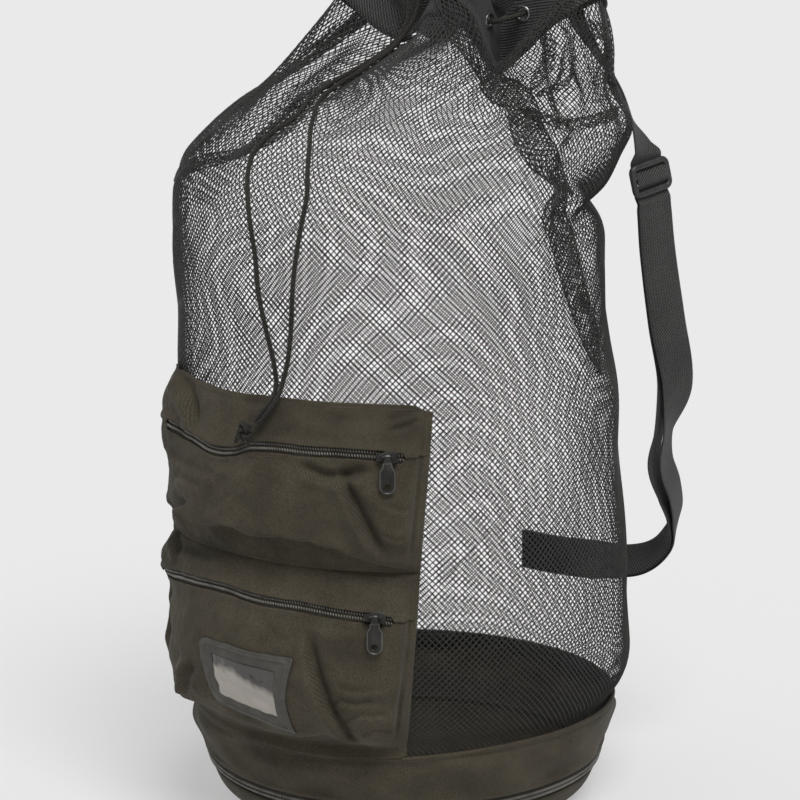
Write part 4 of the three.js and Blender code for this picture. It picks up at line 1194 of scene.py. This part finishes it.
def pocket_panel(name, node, low, high, lip_at, lip, material, slot, rows, off=0.0, thick=1.4):
    """A panel between two edges, each given as a height for every turn."""
    pocket = POCKETS[name]
    part = np.linspace(0, 1, rows)[:, None]
    z = low[None] * (1 - part) + high[None] * part
    stand = off + lip * bell((z - lip_at[None]) / LIP_TALL) + OVER_BASE * (1 - ease(70, 84, z))
    if name == "lower":
        stand = stand - UNDER_UPPER * ease(211, 214, z)
    from_side = ease(0, .05, 1 - np.abs(pocket_turns / POCKET_HALF))
    grid = pocket_skin(pocket, pocket_turns[None], z, stand * from_side)
    piece = cloth_wall(node + "_cloth", grid, thick, material)
    return dress(piece, slot, node)


for name, pocket in POCKETS.items():
    zip_z = pocket["zip"] + 0 * pocket_turns
    gap = zip_gap(pocket_turns, pocket["ends"])
    foot = pocket["foot"] - (base_dip(pocket_turns) + 2 if name == "lower" else 0)
    head = pocket["head"] + (3.5 if name == "lower" else -5 * ease(36, 42, pocket_turns)) + 0 * pocket_turns
    foot = foot + 0 * pocket_turns
    lip = zip_z + np.maximum(gap - 0.6, 0.15)
    behind = ZIP_OPEN + ZIP_TUCK
    pocket_panel(name, f"pocket_{name}_front", foot, zip_z - gap, zip_z - gap, 0.7, nylon, "nylon", 86)
    pocket_panel(name, f"pocket_{name}_top", lip, head, zip_z + gap, 2.0, nylon, "nylon", 32)
    pocket_panel(name, f"pocket_{name}_zip", zip_z - behind, zip_z + behind, zip_z, 0, zip_tape, "zip_tape",
                 7, off=-1.7, thick=0.8)
    print(name, "pocket made")

# %% [markdown]
# ## Zip teeth and stitches
# A coil zip shows two rows of small rounded loops, and a seam shows one row of short stitches. Both are one
# shape repeated along a line, so one Geometry Nodes tree makes them all. Each point carries the direction of
# the line and the direction outwards, and the shape is stretched to the size that is asked for.

# %% Rows by Geometry Nodes
row_tree, given, result = new_group(
    "sewn_row", "GeometryNodeTree",
    [("Points", GEOMETRY, None), ("Long", VALUE, 0.002), ("Wide", VALUE, 0.001), ("Tall", VALUE, 0.001),
     ("Material", MATERIAL, None)], [("Geometry", GEOMETRY)])
bead = add(row_tree, "GeometryNodeMeshUVSphere", {"Segments": 6, "Rings": 4, "Radius": 0.5})
spun = add(row_tree, "FunctionNodeAxesToRotation",
           {0: named(row_tree, "along"), 1: named(row_tree, "out")}, primary_axis="X", secondary_axis="Z")
size = add(row_tree, "ShaderNodeCombineXYZ",
           {"X": given.outputs["Long"], "Y": given.outputs["Wide"], "Z": given.outputs["Tall"]})
placed = add(row_tree, "GeometryNodeInstanceOnPoints",
             {"Points": given.outputs["Points"], "Instance": bead.outputs[0], "Rotation": spun.outputs[0],
              "Scale": size.outputs[0]})
finish_tree(row_tree, placed.outputs[0], given, result)


def even_line(points, pitch):
    """Points along a line at an even pitch."""
    return spaced(points, np.arange(pitch / 2, running(steps_between(points))[-1], pitch))


def sewn_row(name, lines, size, pitch, material, slot, skew=0.0):
    """Repeats along several lines; each line comes with a second line that lies outside it."""
    long, wide, tall = (x * MM for x in size)
    spots, alongs, outs = [], [], []
    for line, outer in lines:
        here, there = even_line(line, pitch), even_line(outer, pitch)
        count = min(len(here), len(there))
        here, there = here[:count], there[:count]
        along = unit(np.gradient(here, axis=0))
        out = there - here
        out = unit(out - along * (out * along).sum(1, keepdims=True))
        spots.append(here)
        outs.append(out)
        alongs.append(along * math.cos(skew) + np.cross(out, along) * math.sin(skew))
    piece = pointed(name, np.concatenate(spots), along=np.concatenate(alongs), out=np.concatenate(outs))
    modifier_mesh(piece, row_tree, {"Long": long, "Wide": wide, "Tall": tall, "Material": material})
    return dress(piece, slot)


FARTHER = 4


def on_pocket(name, z, off, ends=None):
    """A line along a pocket at one height, and the same line farther out."""
    first, last = ends or POCKETS[name]["ends"]
    along = np.linspace(first + 0.3, last - 0.3, 400)
    return [pocket_skin(POCKETS[name], along, np.full(400, float(z)), off + far) for far in (0, FARTHER)]


def up_pocket(name, turn, low, high, off):
    """A line up a pocket at one turn, and the same line farther out."""
    upward = np.linspace(low, high, 300)
    return [pocket_skin(POCKETS[name], np.full(300, float(turn)), upward, off + far) for far in (0, FARTHER)]


def on_base(reach, height, off=0.0, dip=0.0):
    """A line round the base at one height, and the same line farther out."""
    t = np.linspace(0, 360, 1441)
    sagged = height - dip * base_dip(t) - zip_dip(t, height)
    return [polar(t, reach + base_swell(t) + off + far, sagged) for far in (0, FARTHER)]


SEAM_ENDS, SIDE_SEAM = (-39, 39), 40.7
for name, pocket in POCKETS.items():
    teeth = [on_pocket(name, pocket["zip"] + side * 1.6, -0.7) for side in (-1, 1)]
    sewn_row(f"zip_teeth_{name}", teeth, (1.2, 2.8, 1.9), 2.0, zip_coil, "zip_tape", skew=0.25)
    stitches = [
        on_pocket(name, pocket["zip"] - ZIP_OPEN - 2.6, 0.35),
        on_pocket(name, pocket["zip"] + ZIP_OPEN + 2.4, 0.9),
        on_pocket(name, pocket["head"] - 3.2, 0.15, SEAM_ENDS),
        on_pocket(name, pocket["foot"] + 3, 0.2, SEAM_ENDS),
        up_pocket(name, SIDE_SEAM, pocket["foot"] + 4, pocket["head"] - 4, 0.1),
    ]
    sewn_row(f"stitches_{name}", stitches, (2.1, 0.5, 0.5), 3.1, thread, "nylon")
base_teeth = [on_base(143.0 + side * 0.55, 37 + side * 1.8, 0.4) for side in (-1, 1)]
sewn_row("zip_teeth_base", base_teeth, (1.3, 2.9, 1.8), 1.9, zip_coil, "zip_tape", skew=0.2)
base_stitches = [on_base(153, 75.2, 0.2, 0.95), on_base(146.2, 46.6, 0.4)]
sewn_row("stitches_base", base_stitches, (2.2, 0.5, 0.5), 3.3, thread, "nylon")
print("rows made")

# %% [markdown]
# ## Card window
# A frame of grey vinyl with a raised bead is welded on the lower pocket, askew, with a clear film in it. It
# is laid on the pocket by its four corners, which were read off the photograph, and its right edge curls in.

# %% Window frame and film
CORNERS = np.array([[(-8.4, 111.5), (13.6, 93.5)], [(-12.9, 153.8), (14.2, 152.1)]])


def on_window(u, v, off):
    """A point of the window, with u and v from 0 to 1 across and up."""
    u, v = np.asarray(u, float), np.asarray(v, float)
    pull = 1.5 * ease(0.55, 1, u) * 4 * v * (1 - v)
    low = CORNERS[0, 0] * (1 - u)[..., None] + CORNERS[0, 1] * u[..., None]
    high = CORNERS[1, 0] * (1 - u)[..., None] + CORNERS[1, 1] * u[..., None]
    place = low * (1 - v)[..., None] + high * v[..., None]
    return pocket_skin(POCKETS["lower"], place[..., 0] - pull, place[..., 1], off)


def evenly_round(path, count):
    """Even points round a closed outline."""
    path = np.concatenate([path, path[:1]])
    return spaced(path, np.linspace(0, run_of(path), count, endpoint=False))


def rounded_rim(wide, tall, corners, count):
    """Even points round a rectangle with its own radius at each corner, from the lower left."""
    path = []
    for k, (sx, sy) in enumerate(((-1, -1), (1, -1), (1, 1), (-1, 1))):
        radius = corners[k]
        x, y = sx * (wide / 2 - radius), sy * (tall / 2 - radius)
        start = math.pi + k * math.pi / 2
        for a in np.linspace(start, start + math.pi / 2, 12):
            path.append((x + radius * math.cos(a), y + radius * math.sin(a)))
    return evenly_round(np.array(path), count)


WINDOW_WIDE, WINDOW_TALL = 86.0, 58.0
PANE_WIDE, PANE_TALL = 61.0, 36.0
RIM_STEPS = 160
outer_rim = rounded_rim(WINDOW_WIDE, WINDOW_TALL, (13, 1.5, 1.5, 10), RIM_STEPS)
inner_rim = rounded_rim(PANE_WIDE, PANE_TALL, (4, 1.5, 1.5, 1.5), RIM_STEPS)
# How far in from the edge, and how high the vinyl stands there.
VINYL_PROFILE = [(0, 0.2), (.02, 1.1), (.06, 1.5), (.14, 1.6), (.2, 1.5), (.24, 2.3), (.29, 2.5), (.34, 2.3),
                 (.38, 1.5), (.6, 1.5), (.85, 1.45), (.95, 1.3), (1, 0.5)]
frame_grid = []
for part, high in VINYL_PROFILE[::-1]:
    rim = (outer_rim * (1 - part) + inner_rim * part) / [WINDOW_WIDE, WINDOW_TALL] + 0.5
    frame_grid.append(on_window(rim[:, 0], rim[:, 1], np.full(RIM_STEPS, 0.3 + high)))
frame_grid = np.array(frame_grid)[:, ::-1]
window_frame = cloth_wall("window_vinyl_frame", frame_grid, 0.9, vinyl, round_about=True)
dress(window_frame, "vinyl", "window_frame")

film_material, film_tree, film_shader = principled("clear_film", 0.16, Coat_Weight=0.5, Coat_Roughness=0.06)
# The film is dark, and its lower part is painted pale below a wavy, slanting edge: a painted reflection.
place = add(film_tree, "ShaderNodeTexCoord").outputs
reflection_edge_noise = add(film_tree, "ShaderNodeTexNoise", {"Vector": place["UV"], "Scale": 55.0, "Detail": 2.0})
parts = add(film_tree, "ShaderNodeSeparateXYZ", {0: place["UV"]}).outputs
edge = math_node(film_tree, "MULTIPLY_ADD", reflection_edge_noise.outputs[0], 0.020, parts["Y"])
slope = math_node(film_tree, "MULTIPLY_ADD", parts["X"], 0.16, edge)
painted_reflection = ramp(film_tree, slope, 0.0385, 0.0335, (0.038, 0.034, 0.029), (0.31, 0.283, 0.25))
film_tree.links.new(painted_reflection, film_shader.inputs["Base Color"])
u, v = np.meshgrid(np.linspace(0, 1, 40), np.linspace(0, 1, 26))
film_u, film_v = (u - .5) * (PANE_WIDE + 1) / WINDOW_WIDE, (v - .5) * (PANE_TALL + 1) / WINDOW_TALL
film_grid = on_window(0.5 + film_u, 0.5 + film_v, 1.0 + 0.25 * ripples(31, 6, .2, .6, u, v))
film = cloth_wall("window_clear_film", film_grid, 0.5, film_material)
dress(film, "film", "window_film")
print("window:", len(window_frame.data.polygons) + len(film.data.polygons), "faces")

# %% [markdown]
# ## Strap
# The strap is one ribbon of 30 mm webbing. It leaves the mouth edge-on, turns its face as it falls, goes
# over and under the bars of the buckle, and is sewn to the net low at the back. From there it is led back
# up, so that a second ply lies behind the first as far as the buckle. The ribbon follows a table of places
# and facings.

# %% Strap ribbon
STRAP_WIDTH, STRAP_THICK = 30.0, 1.8
BUCKLE_ROW = 7
# Turn round the bag, reach, height, and the turn and tilt of the ribbon's face.
STRAP = np.array([
    (154, 143, 610, 154, 0), (154, 142.6, 591, 154, 4), (153, 149.5, 570, 149, 22), (150, 161, 548, 137, 20),
    (147, 176, 521, 128, 10), (145, 183.5, 497, 122, 4), (144, 191.5, 476, 98, 0), (143.5, 196.5, 456, 73, 0),
    (143.5, 200, 434, 70, 0), (143.5, 203.5, 400, 66, 0), (143.5, 212, 345, 62, 0),
    (144, 221.5, 294.5, 74, 0), (144, 213.8, 257.7, 110, 0), (144, 212.9, 235.2, 104, 0),
    (144.5, 221, 213, 106, 0), (145.5, 225.4, 192, 111, -8), (147.5, 223.9, 172.9, 136, -22),
    (151.5, 217, 155.5, 147, -36), (157, 206.6, 146.9, 166, -46), (169, 172.4, 149, 169, 0),
    (181, 171, 149, 181, 0),
], float)
# How far the second ply lies behind the first, by row.
APART = [(0, 2.4), (9, 2.4), (10, 3.4), (11, 6), (12, 7), (13, 9.4), (14, 8.5), (15, 4), (16, 2.4), (20, 2.4)]
# How far the first ply stands off the buckle's plane, by the distance along it.
WEAVE = [(-40, 0), (-19, 0), (-12, -2.3), (-8.4, -2.3), (-2.6, 2.4), (2.6, 2.4), (8.4, -2.3), (12, -2.3),
         (19, 0), (40, 0)]
NEAR_BUCKLE = 40
STATIONS = 361
strap_points = polar(STRAP[:, 0], STRAP[:, 1], STRAP[:, 2])
place = np.linspace(0, len(STRAP) - 1, STATIONS)
middle = through(strap_points, STATIONS)
onward = unit(np.gradient(middle, axis=0))
facing = smooth_rows(np.arange(len(STRAP)), STRAP[:, 3:], place)
tilt = np.radians(facing[:, 1])
face = polar(facing[:, 0], np.cos(tilt), np.sin(tilt))
across = unit(np.cross(face, onward))
outward = unit(np.cross(onward, across))
at_buckle = int(np.argmin(np.abs(place - BUCKLE_ROW)))
buckle_middle, buckle_along = middle[at_buckle], onward[at_buckle]
buckle_across, buckle_outward = across[at_buckle], outward[at_buckle]
far = (middle - buckle_middle) @ buckle_along
close = np.linalg.norm(middle - buckle_middle, axis=1) < NEAR_BUCKLE
stand = np.where(close, line_at(WEAVE, np.clip(far, -NEAR_BUCKLE, NEAR_BUCKLE)), 0)
hold = np.where(close, 1 - ease(14, 24, np.abs(far)), 0)[:, None]
middle = middle * (1 - hold) + (buckle_middle + buckle_along * far[:, None]) * hold
across = unit(across * (1 - hold) + buckle_across * hold)
outward = unit(outward * (1 - hold) + buckle_outward * hold)
middle = middle + outward * stand[:, None]

spread = np.array([-.5, -.49, -.47, -.4, -.25, 0, .25, .4, .47, .49, .5])
thin = np.array([.15, .3, .46, .5, .5, .5, .5, .5, .46, .3, .15])
cupped = 0.7 * np.sin(place * 1.1)[:, None] * (4 * spread ** 2 - .5)[None]


def ply_faces(line):
    """The outer and the inner face of a ply of webbing along a line."""
    outer = (line[:, None] + across[:, None] * (spread * STRAP_WIDTH)[None, :, None]
             + outward[:, None] * (thin[None] * STRAP_THICK + cupped)[..., None])
    return outer, outer - outward[:, None] * (2 * thin * STRAP_THICK)[None, :, None]


def ribbon_mesh(name, upper, lower, material):
    """A ribbon from its two faces, with its edges and ends closed."""
    rows, columns = upper.shape[:2]
    loop = np.concatenate([upper, lower[:, ::-1]], 1)
    width = loop.shape[1]
    j, i = (x.ravel() for x in np.meshgrid(np.arange(rows - 1), np.arange(width), indexing="ij"))
    k = (i + 1) % width
    faces = np.stack([j * width + i, j * width + k, (j + 1) * width + k, (j + 1) * width + i], 1)
    v = running(steps_between(upper.mean(1))) * MM
    u = running(steps_between(closed_loop(loop), 1).mean(0)) * MM
    uv = np.stack([u[i], v[j], u[i + 1], v[j], u[i + 1], v[j + 1], u[i], v[j + 1]], 1)
    caps = []
    for start, flip in ((0, True), ((rows - 1) * width, False)):
        for c in range(columns - 1):
            quad = [start + c, start + c + 1, start + width - 2 - c, start + width - 1 - c]
            caps.append(quad[::-1] if flip else quad)
    faces = np.concatenate([faces, np.array(caps)])
    uv = np.concatenate([uv, np.zeros((len(caps), 8))])
    return new_object(name, loop.reshape(-1, 3), faces, material, uv)


behind = middle - outward * line_at(APART, place)[:, None]
first_of_second = at_buckle + 4
strap = ribbon_mesh("strap_webbing", *ply_faces(middle), webbing)
second_ply = ribbon_mesh("second_ply", *(face[first_of_second:] for face in ply_faces(behind)), webbing)
joined(strap, second_ply)
reworked(strap.data)
dress(strap, "webbing", "shoulder_strap")

# %% [markdown]
# ## Hard parts
# The sliders, the pulls and the buckle are moulded or cast, so their edges are rounded over. A copy of each
# solid is welded, cleared of flat edges and bevelled. The two pulls ride on their own bodies, because they
# swing.

# %% Rounded copies
HINGES = {
    "upper": ((102.676, -155.474, 301.256), (-0.76887, -0.6394, 0)),
    "lower": ((97.959, -164.118, 186.818), (-0.81749, -0.57595, 0)),
}
TAB_END, TAB_HALF, TAB_WIDER = 20.7, 5.0, 1.22


def pull_rims(name):
    """The raised rim of a pull tab and the lip of its hole, as two tubes."""
    hinge, axis = (np.array(v, float) for v in HINGES[name])
    spots = np.array([v.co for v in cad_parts[f"pull_{name}"].data.vertices]) / MM
    down = unit(spots[spots[:, 2] < spots[:, 2].min() + 0.5].mean(0) - hinge)
    half_turn = np.linspace(math.pi, 0, 13)
    round_end = np.stack([TAB_HALF * np.cos(half_turn), TAB_END + TAB_HALF * np.sin(half_turn)], 1)
    neck = np.array([(2.7, 4.6), (3.0, 7.4), (4.9, 10.4)])
    loop = evenly_round(np.concatenate([neck * [-1, 1], round_end, neck[::-1]]), 72)
    whole = np.linspace(0, 2 * math.pi, 28, endpoint=False)
    hole = np.stack([3.1 * np.cos(whole), TAB_END + 2.8 * np.sin(whole)], 1)
    # The rims take the lighter enamel, a painted highlight on the edges of the tab and its hole.
    return [swept("rim", hinge + path @ np.array([axis, down]), radius, 8, painted_highlight_rims, closed=True)
            for path, radius in ((loop, 0.8), (hole, 0.55))]


def widened(mesh, name):
    """Makes a copied pull wider below its eye."""
    hinge, axis = (Vector(v) for v in HINGES[name])
    for vertex in mesh.vertices:
        along = (vertex.co - hinge * MM).dot(axis)
        if vertex.co.z < (hinge.z - 3) * MM:
            vertex.co += axis * along * (TAB_WIDER - 1)


def rounded_copy(node, name, width, slot, body="bag", pull=None):
    """A copy of a solid with its edges rounded, and of a pull with its wider tab and its rims."""
    def round_edges(mesh):
        bmesh.ops.remove_doubles(mesh, verts=mesh.verts, dist=1e-5)
        bmesh.ops.dissolve_limit(mesh, angle_limit=math.radians(4), verts=mesh.verts, edges=mesh.edges)
        sharp = [e for e in mesh.edges if len(e.link_faces) == 2 and e.calc_face_angle(0) > math.radians(35)]
        bmesh.ops.bevel(mesh, geom=sharp, offset=width * MM, offset_type="OFFSET", segments=3, profile=0.5,
                        affect="EDGES", clamp_overlap=True)

    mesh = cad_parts[node].data.copy()
    mesh.name = name
    reworked(mesh, round_edges)
    if pull:
        widened(mesh, pull)
    mesh.materials.clear()
    mesh.materials.append(enamel)
    mesh.shade_smooth()
    mesh.set_sharp_from_angle(angle=math.radians(50))
    piece = bpy.data.objects.new(name, mesh)
    scene.collection.objects.link(piece)
    if pull:
        joined(piece, *pull_rims(pull))
    return dress(piece, slot, node, body=body)


def buckle_bar(name, line, oval, closed):
    """A moulded bar along a line in the buckle's plane."""
    path = buckle_middle + line @ np.array([buckle_across, buckle_along])
    return swept(name, path, 1.0, 16, moulded, closed=closed, oval=oval)


FRAME_WIDE, FRAME_TALL, FRAME_CORNER = 33, 20.6, 4
frame_line = rounded_rim(FRAME_WIDE, FRAME_TALL, [FRAME_CORNER] * 4, 96)
bar_line = np.stack([np.linspace(-FRAME_WIDE / 2, FRAME_WIDE / 2, 9), np.zeros(9)], 1)
buckle = buckle_bar("strap_buckle", frame_line, (2.4, 2.5), True)
joined(buckle, buckle_bar("bar", bar_line, (1.6, 2.3), False))
dress(buckle, "buckle", "tri_glide")
for name in POCKETS:
    rounded_copy(f"slider_{name}", f"zip_slider_{name}", 0.5, "zip_metal")
    rounded_copy(f"pull_{name}", f"zip_pull_{name}", 0.4, "zip_metal", body=f"{name}_pull", pull=name)
rounded_copy("base_slider", "zip_slider_base", 0.4, "zip_metal")
print("hard parts rounded")

# %% [markdown]
# ## Floor and light
# The bag stands on a pale floor that fills the picture. The floor glows a little, as a lit table for product
# photographs does, so that the shadow of the bag stays pale. Two far lamps with wide discs light it evenly:
# the stronger one from above the right front, the weaker one from the left. A pale sky lifts the shadows.

# %% Floor and light
floor_material, _, floor_shader = principled("pale_floor", 0.9, Specular_IOR_Level=0.1)
floor_shader.inputs["Base Color"].default_value = (0.44, 0.44, 0.44, 1)
floor_shader.inputs["Emission Color"].default_value = (1, 1, 1, 1)
floor_shader.inputs["Emission Strength"].default_value = 0.38
FLOOR_REACH, FLOOR_DROP = 6000, 0.2
corners = [[x * FLOOR_REACH, y * FLOOR_REACH, -FLOOR_DROP] for x, y in ((-1, -1), (1, -1), (1, 1), (-1, 1))]
floor = new_object("floor", corners, [[0, 1, 2, 3]], floor_material, smooth=False)


def soft_sun(name, turn, rise, spread, power):
    """A far lamp with a wide soft disc, so that the floor is lit the same everywhere."""
    lamp = bpy.data.lights.new(name, "SUN")
    lamp.energy, lamp.angle = power, math.radians(spread)
    holder = bpy.data.objects.new(name, lamp)
    a, e = math.radians(turn), math.radians(rise)
    heading = Vector((math.sin(a) * math.cos(e), -math.cos(a) * math.cos(e), math.sin(e)))
    holder.location = LOOK_AT + heading * 3
    holder.rotation_euler = heading.to_track_quat("Z", "Y").to_euler()
    scene.collection.objects.link(holder)


soft_sun("key_sun", 54, 57, 32, 2.3)
soft_sun("fill_sun", -70, 34, 70, 0.3)
world = bpy.data.worlds.new("sky")
world.use_nodes = True
world.node_tree.nodes["Background"].inputs["Color"].default_value = (1, 1, 1, 1)
world.node_tree.nodes["Background"].inputs["Strength"].default_value = 0.34
scene.world = world
print("lights:", len(bpy.data.lights))
